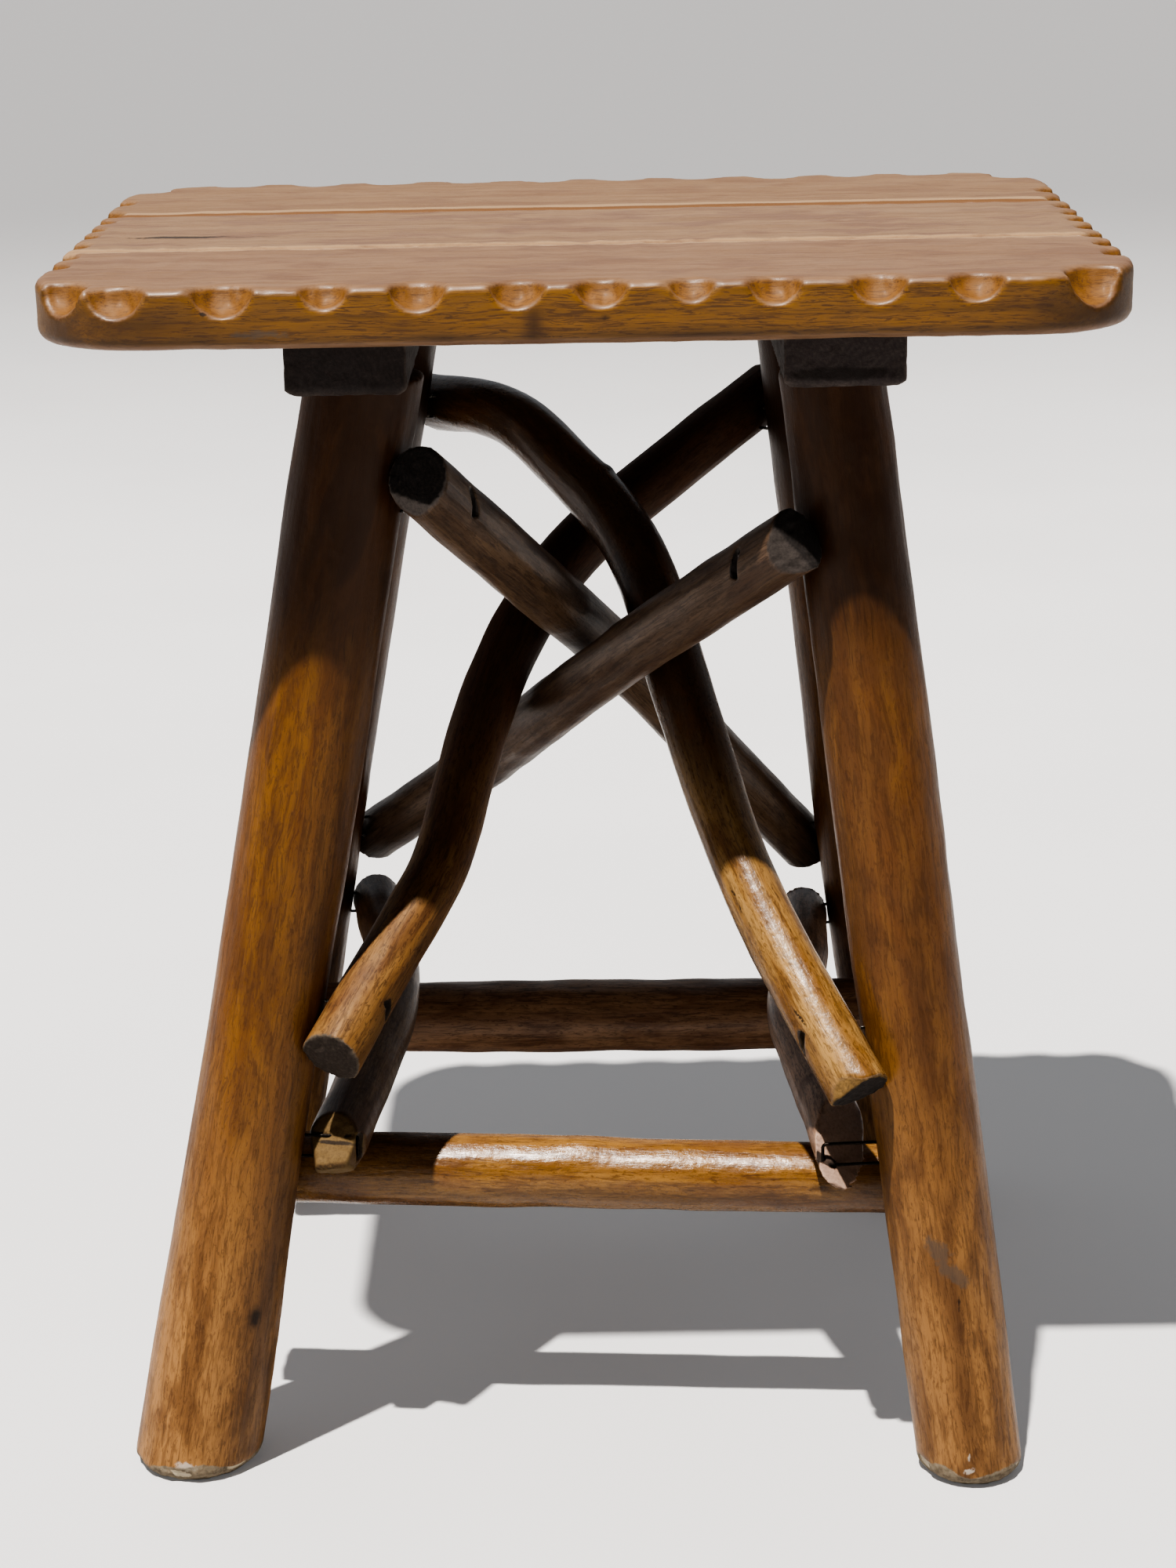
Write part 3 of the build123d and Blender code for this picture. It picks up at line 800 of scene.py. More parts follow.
        # Pale convex rims, less on cut ends: partly rubbed wear, partly painted highlight.
        rim_wear_and_highlight_share = wires.raised(wires.field("cut"), -0.45, 0.45)
        self.wear(wires.times(wires.field("rim"), 6.0), 240.0, 1.0, 1.0 - finish.rim_amount, rim_wear_and_highlight_share, finish.rim)
        self.wear(wires.field("smudge"), 330.0, 1.3, 0.4, 0.62, finish.smudge)
        self.wear(wires.field("scuff"), 650.0, 1.1, 0.5, 0.7, finish.scuff)
        if finish.chipped:
            mottle = wires.span(wires.noise(self.place, 420.0, 4.0, 0.7), 0.35, 0.68)
            bare = wires.blend(mottle, finish.chipped, shaded(finish.chipped, 0.5))
            self.wear(wires.field("foot_rim"), 330.0, 0.9, 0.45, 0.85, bare)
            self.wear(wires.field("foot_chip"), 900.0, 0.8, 0.55, 0.8, shaded(finish.chipped, 2.4))

    def varnish(self) -> None:
        """Ends the material with its varnish, its rough bare places and its fine relief."""
        finish, wires = self.finish, self.wires
        gloss = wires.group(self.effects.varnish, Place=self.place, Gloss=finish.gloss, Spread=finish.spread,
                            Fibre=self.fibre)["Roughness"]
        dull = wires.math("MAXIMUM", wires.math("MAXIMUM", wires.field("cut"), wires.field("scuff")),
                          wires.field("foot_rim"))
        dull = wires.math("MAXIMUM", dull, wires.times(wires.field("scoop"), 0.8))
        pebble = wires.noise(self.place, 280.0, 2.0, 0.5)
        height = wires.raised(pebble, finish.pebble, wires.raised(self.dash, 0.8, self.fibre))
        height = wires.raised(wires.times(dull, self.crumb), 1.8, height)
        wires.surface(Base_Color=self.colour, Roughness=wires.math("MAXIMUM", gloss, wires.times(dull, 0.8)),
                      Normal=wires.bump(height, finish.bump, 0.3 * MM),
                      Coat_Weight=wires.math("MULTIPLY_ADD", dull, -finish.coat, finish.coat, clamp=True),
                      Coat_Roughness=finish.coat_roughness, Specular_IOR_Level=finish.shine)


@dataclass(frozen=True)
class SteelFinish:
    """Old wire and screws: dull steel, with rust where the wood holds damp."""

    name: str = "fixing_steel"
    steel: Colour = (0.34, 0.33, 0.31)
    tarnish: Colour = (0.018, 0.015, 0.013)
    rust: Colour = (0.16, 0.055, 0.02)

    def make(self) -> bpy.types.Material:
        """Builds the material on object coordinates."""
        material, wires = start_material(self.name)
        position = wires.position()
        dull = wires.noise(position, 900.0, 4.0, 0.6)
        spots = wires.noise(position, 2600.0, 3.0, 0.6)
        colour = wires.blend(wires.span(dull, 0.40, 0.52), self.steel, self.tarnish)
        colour = wires.blend(wires.span(spots, 0.56, 0.72), colour, self.rust)
        wires.surface(Base_Color=colour, Roughness=wires.span(dull, 0.3, 0.7, 0.32, 0.6),
                      Metallic=wires.span(spots, 0.72, 0.55, 0.2, 1.0), Normal=wires.bump(spots, 0.4, 0.1 * MM))
        return material


@dataclass(kw_only=True)
class Woodwork:
    """Wooden pieces that are made and finished in one way."""

    names: tuple[str, ...]
    slot: str
    finishes: tuple[WoodFinish, ...]
    spots: tuple[tuple[Mark, ...], ...]
    skin: float
    smoothing: int
    pieces: list[Timber] = field(default_factory=list)

    def build(self) -> None:
        """Shapes each piece."""
        for index, name in enumerate(self.names):
            piece = Timber(name, self.skin, self.smoothing)
            self.shape(index, piece)
            self.pieces.append(piece)

    def shape(self, index: int, piece: Timber) -> None:
        """Shapes one piece.

        Args:
            index: its number in the set.
            piece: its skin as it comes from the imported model.
        """
        raise NotImplementedError

    def dress(self, effects: Effects) -> None:
        """Marks and finishes each piece."""
        for piece, finish, spots in zip(self.pieces, self.finishes, self.spots):
            piece.mark(spots)
            piece.finish(WoodShader(finish, effects).material, self.slot)


@dataclass(kw_only=True)
class Seat(Woodwork):
    """Three boards side by side, with scoops gouged round their top edge."""

    corner_radius: float = 42 * MM
    scoop_drop: float = 15 * MM
    scoop_reach: float = 15 * MM
    seam_half: float = 1.5 * MM
    waviness: float = 0.16 * MM
    groove_depth: float = 0.05 * MM
    chop_depth: float = 0.2 * MM
    nick_depth: float = 0.6 * MM
    heart_depth: float = 75 * MM
    heart_aside: float = 9 * MM
    heart_tilt: float = 0.012

    def __post_init__(self) -> None:
        """Reads the slab's size from its boards."""
        boxes = [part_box(name) for name in self.names]
        self.half_sizes = np.max([np.abs(corner)[:2] for pair in boxes for corner in pair], axis=0)
        self.top = boxes[0][1].z
        self.under = boxes[0][0].z
        self.seams = [boxes[0][1].y, boxes[1][1].y]

    def inset(self, points: Rows) -> Rows:
        """How far each point lies inside the seat's rounded outline, in plan."""
        flat = np.abs(points[:, :2]) - (self.half_sizes - self.corner_radius)
        outside = np.linalg.norm(np.maximum(flat, 0.0), axis=1)
        return self.corner_radius - outside - np.minimum(flat.max(1), 0.0)

    def shape(self, index: int, piece: Timber) -> None:
        """Gives a board a hand-planed top, clean scoops and worn seams.

        Args:
            index: its number from the front.
            piece: its skin.
        """
        points, fields = piece.points, piece.fields
        inset = self.inset(points)
        depth = np.minimum(inset, self.top - points[:, 2])
        high = smooth_step(points[:, 2], self.top - self.scoop_drop, self.top - self.scoop_drop + 3 * MM)
        hollow = smooth_step(depth, 0.9 * MM, 2.0 * MM) * high
        hollow *= 1 - smooth_step(inset, self.scoop_reach - 2 * MM, self.scoop_reach)
        front, rear = (points[:, 1] - seam for seam in self.seams)
        by_seam = near(np.minimum(abs(front), abs(rear)), self.seam_half, 1.6 * self.seam_half)
        worn = np.maximum(near(front + 0.6 * MM, 4.0 * MM, 9.0 * MM) * 0.5, near(rear - 8.0 * MM, 2.2 * MM, 4.4 * MM))
        brown = near(rear - 0.4 * MM, 3.4 * MM, 5.0 * MM)
        up = smooth_step(points[:, 2], self.top - 3 * MM, self.top - 2 * MM)
        fields["scoop"] = hollow * (1 - by_seam)
        fields["seam"] = np.maximum(brown, by_seam * 0.35) * up
        fields["seam_pale"] = worn * up
        fields["flank"] = smooth_step(1 - abs(piece.normals[:, 2]), 0.30, 0.62) * (1 - fields["scoop"])
        lift = abs(ripple(points, 31 + index, (26, 80, 26))) * self.waviness
        groove = abs(ripple(points, 61 + index, (160, 6, 6), 30)) * self.groove_depth
        chop = ripple(points, 91 + index, (5, 9, 12)) * self.chop_depth
        nick = smooth_step(ripple(points, 95 + index, (9, 9, 9)), 0.6, 1.6) * self.nick_depth
        piece.press(-(lift + groove) * (1 - fields["scoop"] * 0.5))
        piece.press(chop * fields["scoop"])
        piece.press(-nick * smooth_step(fields["rim"], 0.04, 0.12))
        heart = (-1) ** index * self.heart_aside
        piece.places = np.stack([points[:, 1] - self.seams[0] - heart + points[:, 0] * self.heart_tilt * (index - 1),
                                 points[:, 2] - self.under + self.heart_depth, points[:, 0]], axis=1)


@dataclass(kw_only=True)
class Cleats(Woodwork):
    """Two sawn battens under the boards."""

    saw_pitch: float = 3.1 * MM
    saw_depth: float = 0.2 * MM

    def shape(self, index: int, piece: Timber) -> None:
        """Gives a batten saw marks on its ends and faces.

        Args:
            index: its number from the left.
            piece: its skin.
        """
        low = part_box(piece.node)[0]
        x, y, z = (piece.points - (low.x, 0.0, low.z)).T
        piece.ways = np.tile((0.0, 1.0, 0.0), (len(x), 1))
        piece.places = np.stack([x, z, y], axis=1)
        end = smooth_step(abs(piece.normals[:, 1]), 0.6, 0.85)
        lean = radians(62 - 110 * index)
        slant = piece.points[:, 0] * sin(lean) + z * cos(lean)
        blade = np.sin(2 * pi * slant / self.saw_pitch + 2.4 * piece.ripple(11, 13, 13, 13))
        blade *= smooth_step(piece.ripple(15 + index, 12, 12, 12), -0.7, 1.1)
        flat = np.sin(2 * pi * y / (2.2 * self.saw_pitch) + piece.ripple(12, 30, 30, 30))
        rough = piece.ripple(13 + index, 6, 6, 6)
        piece.fields["cut"] = end * 0.8
        piece.fields["facet"] = end * smooth_step(blade, 0.1, 1.0) * 0.3
        piece.press((blade * end + flat * (1 - end) * 0.5 + rough * 0.6) * self.saw_depth)


@dataclass(frozen=True)
class Staple:
    """One driven staple: the middle of its crown, the way it is driven and the way its crown lies."""

    crown: Rows
    drive: Rows
    way: Rows

    @classmethod
    def from_points(cls, points: Rows, wire: float) -> "Staple":
        """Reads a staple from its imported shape.

        Args:
            points: the corners of one staple.
            wire: the wire's thickness.

        Returns:
            The staple, with its drive running from the crown to the tips.
        """
        centre = points.mean(0)
        drive = np.linalg.svd(points - centre, full_matrices=False)[2][0]
        along = (points - centre) @ drive
        if not np.any((along > along.min() + 0.5 * wire) & (along < along.min() + 3 * wire)):
            drive, along = -drive, -along
        face = points[along < along.min() + 0.3 * wire]
        way = np.linalg.svd(face - face.mean(0), full_matrices=False)[2][0]
        return cls(face.mean(0) + drive * wire / 2, drive, way if way[2] > 0 else -way)

    def turn(self) -> Quaternion:
        """The turn that takes x along the crown and z along the drive."""
        across = np.cross(self.drive, self.way)
        return Matrix((self.way, across, self.drive)).transposed().to_quaternion()


@dataclass(kw_only=True)
class Poles(Woodwork):
    """A set of round sticks that share a way of making: legs, stretchers, rails or branches."""

    staples: tuple[Staple, ...]
    girth: float
    toward: tuple[float, float, float]
    swell: float
    dents: float
    ridges: float
    seed: int
    slot_reach: float = 5.4 * MM
    slot_half: float = 1.9 * MM
    slot_near: float = 5 * MM
    slot_depth: float = 0.5 * MM

    def shape(self, index: int, piece: Timber) -> None:
        """Shapes a stick along its own middle line, and darkens and sinks the slots of its staples.

        Args:
            index: its number in the set.
            piece: its skin.
        """
        piece.follow(self.girth, self.toward)
        piece.roughen(self.seed + 10 * index, self.swell, self.dents, self.ridges)
        stain = np.zeros(len(piece.points))
        for staple in self.staples:
            offsets = piece.points - staple.crown
            aside = offsets @ np.cross(staple.drive, staple.way)
            inside = near(offsets @ staple.way, self.slot_reach - 0.4 * MM, self.slot_reach + 0.6 * MM)
            inside *= near(aside, self.slot_half - 0.5 * MM, self.slot_half + 0.5 * MM)
            stain = np.maximum(stain, inside * (abs(offsets @ staple.drive) < self.slot_near))
        piece.fields["stain"] = stain
        piece.press(-stain * self.slot_depth)


@dataclass(kw_only=True)
class Legs(Poles):
    """The four splayed poles, with chipped feet."""

    foot_band: float = 6 * MM
    band_ease: float = 1.5 * MM
    band_sway: float = 1.4 * MM
    chip_depth: float = 0.9 * MM

    def shape(self, index: int, piece: Timber) -> None:
        """Shapes a pole and wears the rim of its foot.

        Args:
            index: its number in the set.
            piece: its skin.
        """
        super().shape(index, piece)
        height, fields = piece.points[:, 2], piece.fields
        sway = piece.ripple(720 + index, 22, 22, 22) * self.band_sway
        band = smooth_step(-height + sway, -self.foot_band - self.band_ease, -self.foot_band + self.band_ease)
        bite = smooth_step(piece.ripple(700 + index, 14, 14, 9), 0.5, 1.3) * band
        fields["cut"] = fields["cut"] * smooth_step(-height, -1.5 * MM, -0.5 * MM)
        fields["facet"][:] = 0.0
        fields["foot_rim"] = band
        fields["foot_chip"] = bite
        piece.press(-bite * self.chip_depth)


@dataclass
class Fastenings:
    """Wire staples, nails and screws."""

    wire: float = 1.3 * MM
    crown: float = 10 * MM
    prong: float = 38 * MM
    bend: float = 1.4 * MM
    head: float = 8.4 * MM
    head_depth: float = 2.6 * MM
    shank: float = 4.2 * MM
    screw: float = 35 * MM
    driver_slot: float = 1.1 * MM
    turn_seed: int = 19
    staple_groups: tuple[str, ...] = ("stretcher_staples", "rail_staples", "branch_staples")
    black_group: str = "rail_staples"

    def __post_init__(self) -> None:
        """Reads where the staples and screws are driven."""
        self.groups = {name: [Staple.from_points(points, self.wire) for points in islands(name)]
                       for name in self.staple_groups}
        self.heads = [np.append(points.mean(0)[:2], points[:, 2].min()) for points in islands("seat_screws")]

    def staples(self) -> tuple[Staple, ...]:
        """Every staple of the stool."""
        return tuple(staple for group in self.groups.values() for staple in group)

    def staple_tree(self) -> Tree:
        """Bends a wire into a staple at each point, from named sizes."""
        wires, given, result = start_repeat("bent_staple", ("Crown", "Prong", "Bend", "Thickness"))
        order = wires.out("GeometryNodeInputIndex")
        side = wires.raised(wires.math("GREATER_THAN", order, 1.5), 2.0, -1.0)
        across = wires.times(side, wires.times(given["Crown"], 0.5))
        is_tip = wires.math("GREATER_THAN", wires.math("ABSOLUTE", wires.math("SUBTRACT", order, 1.5)), 1.0)
        corner = wires.combine(across, 0.0, wires.times(is_tip, given["Prong"]))
        line = wires.out("GeometryNodeMeshLine", {"Count": 4})
        placed = wires.out("GeometryNodeSetPosition", {"Geometry": line, "Position": corner})
        path = wires.out("GeometryNodeMeshToCurve", {"Mesh": placed})
        rounded = wires.out("GeometryNodeFilletCurve", {"Curve": path, "Radius": given["Bend"], "Count": 4},
                            mode="POLY")
        half_wire = wires.times(given["Thickness"], 0.5)
        section = wires.out("GeometryNodeCurvePrimitiveCircle", {"Resolution": 8, "Radius": half_wire})
        wire = wires.out("GeometryNodeCurveToMesh", {"Curve": rounded, "Profile Curve": section, "Fill Caps": True})
        return repeat_on_points(wires, given, result, wire)

    def screw_tree(self) -> Tree:
        """Makes a countersunk screw with a slotted head at each point, from named sizes."""
        wires, given, result = start_repeat("slotted_screw", ("Head", "Depth", "Shank", "Length", "Slot"))
        half_head, half_shank = wires.times(given["Head"], 0.5), wires.times(given["Shank"], 0.5)
        cone = wires.out("GeometryNodeMeshCone", {"Vertices": 28, "Depth": given["Depth"], "Radius Bottom": half_head,
                                                  "Radius Top": half_shank})
        blade = wires.combine(wires.times(given["Head"], 1.4), given["Slot"], wires.times(given["Slot"], 2.0))
        cutter = wires.out("GeometryNodeMeshCube", {"Size": blade})
        head = wires.out("GeometryNodeMeshBoolean", {"Mesh 1": cone, "Mesh 2": cutter}, operation="DIFFERENCE",
                         solver="EXACT")
        run = wires.math("SUBTRACT", given["Length"], given["Depth"])
        shank = wires.out("GeometryNodeMeshCylinder", {"Vertices": 16, "Depth": run, "Radius": half_shank})
        lift = wires.combine(0.0, 0.0, wires.raised(run, 0.5, given["Depth"]))
        lifted = wires.out("GeometryNodeTransform", {"Geometry": shank, "Translation": lift})
        joined = wires.node("GeometryNodeJoinGeometry", {0: head})
        wires.feed(joined.inputs[0], lifted)
        return repeat_on_points(wires, given, result, joined.outputs[0])

    def build(self) -> None:
        """Makes the staples and screws, and gives the hidden nails the same steel."""
        steel = SteelFinish().make()
        black = SteelFinish("blackened_steel", (0.022, 0.019, 0.016), (0.012, 0.010, 0.009),
                            (0.05, 0.02, 0.01)).make()
        tree = self.staple_tree()
        sizes = {"Crown": self.crown - self.wire, "Prong": self.prong - self.wire / 2, "Bend": self.bend,
                 "Thickness": self.wire}
        for name, group in self.groups.items():
            sizes["Steel"] = black if name == self.black_group else steel
            spots = np.array([staple.crown for staple in group])
            set_in_frame(spread(name + "_wire", tree, spots, [staple.turn() for staple in group], sizes), name)
        angles = np.random.default_rng(self.turn_seed).uniform(0, pi, len(self.heads))
        turns = [Quaternion((0, 0, 1), angle) for angle in angles]
        sizes = {"Head": self.head, "Depth": self.head_depth, "Shank": self.shank, "Length": self.screw,
                 "Slot": self.driver_slot, "Steel": steel}
        screws = spread("seat_screws_slotted", self.screw_tree(), np.array(self.heads), turns, sizes)
        set_in_frame(screws, "seat_screws")
        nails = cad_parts["leg_nails"]
        nails.data.materials.clear()
        nails.data.materials.append(steel)
        log.info("leg_nails: steel")


def islands(node: str) -> list[Rows]:
    """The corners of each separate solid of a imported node, as rows."""
    form = merged(node)
    found, seen = [], set()
    for start in form.verts:
        if start in seen:
            continue
        seen.add(start)
        members, waiting = [], [start]
        while waiting:
            vert = waiting.pop()
            members.append(tuple(vert.co))
            fresh = [edge.other_vert(vert) for edge in vert.link_edges]
            fresh = [other for other in fresh if other not in seen]
            seen.update(fresh)
            waiting += fresh
        found.append(np.array(members))
    form.free()
    return found


def start_repeat(name: str, sizes: tuple[str, ...]) -> tuple[Wiring, bpy.types.NodeOutputs, bpy.types.NodeInputs]:
    """Opens a geometry tree that takes points, named sizes and a finish."""
    return start_tree("Geometry", name, {"Geometry": ("Points",), "Float": sizes, "Material": ("Steel",)},
                      {"Geometry": ("Result",)})


def repeat_on_points(wires: Wiring, given: bpy.types.NodeOutputs, result: bpy.types.NodeInputs,
                     shape: Socket) -> Tree:
    """Ends a tree: sets a shape on each point, turned by the point's own turn, as real steel."""
    turn = wires.out("GeometryNodeInputNamedAttribute", {"Name": "turn"}, data_type="QUATERNION")
    copies = wires.out("GeometryNodeInstanceOnPoints",
                       {"Points": given["Points"], "Instance": shape, "Rotation": turn})
    real = wires.out("GeometryNodeRealizeInstances", {"Geometry": copies})
    wires.feed(result[0], wires.out("GeometryNodeSetMaterial", {"Geometry": real, "Material": given["Steel"]}))
    return wires.tree


def spread(name: str, tree: Tree, spots: Rows, turns: list[Quaternion],
           sizes: dict[str, object]) -> bpy.types.Object:
    """Runs a repeat tree on a set of places.

    Args:
        name: the piece's name.
        tree: the tree to run.
        spots: one row for each copy's place.
        turns: one turn for each copy.
        sizes: the tree's inputs by name.

    Returns:
        A plain mesh object, linked to the scene.
    """
    seeds = bpy.data.meshes.new(name + "_points")
    seeds.from_pydata(spots.tolist(), [], [])
    stored = seeds.attributes.new("turn", "QUATERNION", "POINT")
    stored.data.foreach_set("value", np.array([tuple(turn) for turn in turns]).ravel())
    host = linked(name + "_points", seeds)
    maker = host.modifiers.new("repeat", "NODES")
    maker.node_group = tree
    for item in tree.interface.items_tree:
        if item.name in sizes and item.in_out == "INPUT":
            maker[item.identifier] = sizes[item.name]
    mesh = evaluated(host, name)
    mesh.shade_smooth()
    return linked(name, mesh)


def set_in_frame(piece: bpy.types.Object, node: str) -> None:
    """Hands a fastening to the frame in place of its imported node."""
    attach(piece, "root")
    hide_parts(node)
    log.info("%s: %d faces", piece.name, len(piece.data.polygons))


@dataclass
class Studio:
    """A plain pale floor, soft lights and the camera."""

    floor_reach: float = 40.0
    floor: Colour = (0.480, 0.473, 0.473)
    far_floor_painted_shade: Colour = (0.155, 0.152, 0.153)
    floor_glow: float = 0.098
    surround: Colour = (0.92, 0.96, 1.0)
    bright_way: tuple[float, float, float] = (-0.25, 0.80, 0.55)
    dim_strength: float = 0.03
    bright_strength: float = 0.42
    key_aim: tuple[float, float, float] = (0.19, 0.27, -0.95)
    key_strength: float = 7.7
    key_spread: float = 1.1
    key_colour: Colour = (1.0, 0.965, 0.92)
    fill_place: tuple[float, float, float] = (-0.7, -2.2, 1.1)
    fill_size: float = 1.6
    fill_strength: float = 1.0

    def lay_floor(self) -> None:
        """A wide sheet of pale paper under the stool, darker far behind as painted shade, with a faint glow that only
        the camera sees, which lightens the shadows on it.
        """
        form = bmesh.new()
        bmesh.ops.create_grid(form, x_segments=2, y_segments=2, size=self.floor_reach)
        mesh = bpy.data.meshes.new("paper_floor")
        form.to_mesh(mesh)
        form.free()
        floor = linked("paper_floor", mesh)
        material, wires = start_material("paper")
        position = wires.position()
        shade = wires.span(wires.noise(position, 3.0, 3.0, 0.5), 0.35, 0.7)
        colour = wires.blend(shade, self.floor, shaded(self.floor, 0.96))
        # Painted shade: the paper darkens far behind the stool.
        colour = wires.blend(wires.span(wires.part(position, 1), 0.8, 4.0), colour, self.far_floor_painted_shade)
        wires.surface(Base_Color=colour, Roughness=0.75, Emission_Color=(1.0, 0.98, 0.99),
                      Emission_Strength=wires.camera_only(self.floor_glow))
        mesh.materials.append(material)

    def hang_lights(self) -> None:
        """A soft key from high at the front left, a weak broad fill and a surround that the camera sees as pale."""
        world = bpy.data.worlds.new("surround")
        bpy.context.scene.world = world
        world.use_nodes = True
        wires = Wiring(world.node_tree)
        way = wires.node("ShaderNodeTexCoord").outputs["Generated"]
        facing = wires.node("ShaderNodeVectorMath", {0: way, 1: self.bright_way}, operation="DOT_PRODUCT")
        strength = wires.span(facing.outputs["Value"], -0.35, 0.9, self.dim_strength, self.bright_strength)
        backdrop = world.node_tree.nodes["Background"].inputs
        wires.feed(backdrop["Color"], self.surround)
        wires.feed(backdrop["Strength"], wires.math("MAXIMUM", strength, wires.camera_only(self.bright_strength)))
        key = bpy.data.lights.new("key", "SUN")
        key.energy = self.key_strength
        key.angle = radians(self.key_spread)
        key.color = self.key_colour
        self.hang(key, -Vector(self.key_aim), Vector(self.key_aim))
        fill = bpy.data.lights.new("fill", "AREA")
        fill.shape = "SQUARE"
        fill.size = self.fill_size
        fill.energy = self.fill_strength
        self.hang(fill, Vector(self.fill_place), (cad_low + cad_high) / 2 - Vector(self.fill_place))

    def hang(self, light: bpy.types.Light, position: Vector, aim: Vector) -> None:
        """Sets one lamp in the scene, looking along its aim."""
        holder = linked(light.name, light)
        holder.location = position
        holder.rotation_mode = "QUATERNION"
        holder.rotation_quaternion = aim.to_track_quat("-Z", "Y")

    def set_camera(self) -> None:
        """The camera at the reference view."""
        camera = bpy.data.cameras.new("view")
        camera.sensor_width = VIEW.sensor
        camera.lens = VIEW.focal * VIEW.sensor / VIEW.height
        holder = linked("view", camera)
        right, up, ahead = VIEW.axes()
        turn = Matrix((right, up, -ahead)).transposed()
        holder.matrix_world = Matrix.Translation(VIEW.position) @ turn.to_4x4()
        bpy.context.scene.camera = holder


# The seat's rim colour on the scoops' lips and the arrises between them: partly rubbed wear, partly painted
# highlight.
SEAT_FINISHES = tuple(
    WoodFinish(name, mid, pale, (0.055, 0.024, 0.010), blush, seed, across=760.0, along=22.0, fibre_depth=0.18,
               dash_depth=0.28, gloss=0.5, bump=0.25, pebble=0.4, flank=(0.110, 0.052, 0.0105),
               scoop=(0.150, 0.066, 0.0145), seam=(0.120, 0.052, 0.016), seam_edge=(0.275, 0.178, 0.098),
               rim=(0.210, 0.124, 0.070), rim_amount=0.30)
    for name, mid, pale, blush, seed in (
        ("front_board_wood", (0.158, 0.088, 0.046), (0.178, 0.104, 0.058), (0.132, 0.070, 0.040), 3.0),
        ("middle_board_wood", (0.165, 0.096, 0.050), (0.190, 0.116, 0.064), (0.130, 0.070, 0.044), 17.0),
        ("rear_board_wood", (0.162, 0.092, 0.045), (0.182, 0.108, 0.056), (0.140, 0.074, 0.038), 29.0),
    )
)
SEAT_SPOTS = (
    marks(Kind.KNOT, (775, 407, 3, 1.6, 0.6))
    + marks(Kind.STAIN, (258, 398, 1.5, 1.1, 0.9))
    + marks(Kind.SMUDGE, (330, 432, 14, 2.0, 0.8))
    + marks(Kind.SHADE, (676, 418, 3.4, 8, 1.0), (905, 432, 16, 1.6, 0.9), (560, 436, 10, 2.0, 0.8),
            (150, 415, 30, 9, 0.7), (72, 425, 16, 12, 0.9), (1425, 400, 16, 14, 1.0), (1380, 405, 22, 10, 0.8)),
    marks(Kind.STAIN, (225, 298, 20, 3.4, 0.9), (290, 297, 34, 1.0, 0.7)),
    (),
)
BATTEN = {"along": 20.0, "gloss": 0.7, "coat": 0.0, "bump": 0.5, "rim_amount": 0.5}
# The battens' rim colour on their edges, such as the lower chamfer: partly rubbed wear, partly painted light from the
# floor's bounce.
CLEAT_FINISHES = (
    WoodFinish("left_cleat_wood", (0.022, 0.014, 0.011), (0.046, 0.032, 0.026), (0.008, 0.005, 0.004),
               (0.024, 0.013, 0.010), 5.0, end_dark=(0.013, 0.008, 0.007), end_pale=(0.046, 0.032, 0.027),
               facet=(0.064, 0.048, 0.041), rim=(0.14, 0.11, 0.09), **BATTEN),
    WoodFinish("right_cleat_wood", (0.038, 0.028, 0.025), (0.075, 0.058, 0.050), (0.012, 0.008, 0.007),
               (0.030, 0.018, 0.015), 8.0, end_dark=(0.026, 0.018, 0.017), end_pale=(0.080, 0.060, 0.052),
               facet=(0.095, 0.075, 0.066), rim=(0.16, 0.125, 0.105), **BATTEN),
)
CLEAT_SPOTS = ((), marks(Kind.STAIN, (1075, 482, 3, 22, 0.9)))
REAR_LEG = (0.110, 0.043, 0.0110), (0.145, 0.064, 0.0170), (0.071, 0.028, 0.0080)
# Each leg's crown colour is painted shade for the seat's shadow on its upper part.
LEG_FINISHES = tuple(
    WoodFinish(name, mid, pale, (0.048, 0.018, 0.005), blush, seed, across=640.0, along=52.0, sway=5.0 * MM,
               fibre_depth=0.46, dash_depth=0.42, cloud_share=0.62, coat=0.03, shine=0.24, rim_amount=0.2,
               # The foot colour is partly wear, partly painted light.
               foot=(0.300, 0.158, 0.060), crown=(0.022, 0.007, 0.002), painted_shade_share=0.85,
               chipped=(0.215, 0.185, 0.135), end_dark=(0.10, 0.075, 0.05), end_pale=(0.24, 0.19, 0.14))
    for name, (mid, pale, blush), seed in (
        ("front_left_leg_wood", ((0.124, 0.049, 0.0115), (0.163, 0.073, 0.0175), (0.082, 0.032, 0.0085)), 41.0),
        ("front_right_leg_wood", ((0.121, 0.050, 0.0150), (0.158, 0.073, 0.0215), (0.080, 0.033, 0.0110)), 53.0),
        ("rear_left_leg_wood", REAR_LEG, 67.0),
        ("rear_right_leg_wood", REAR_LEG, 79.0),
    )
)
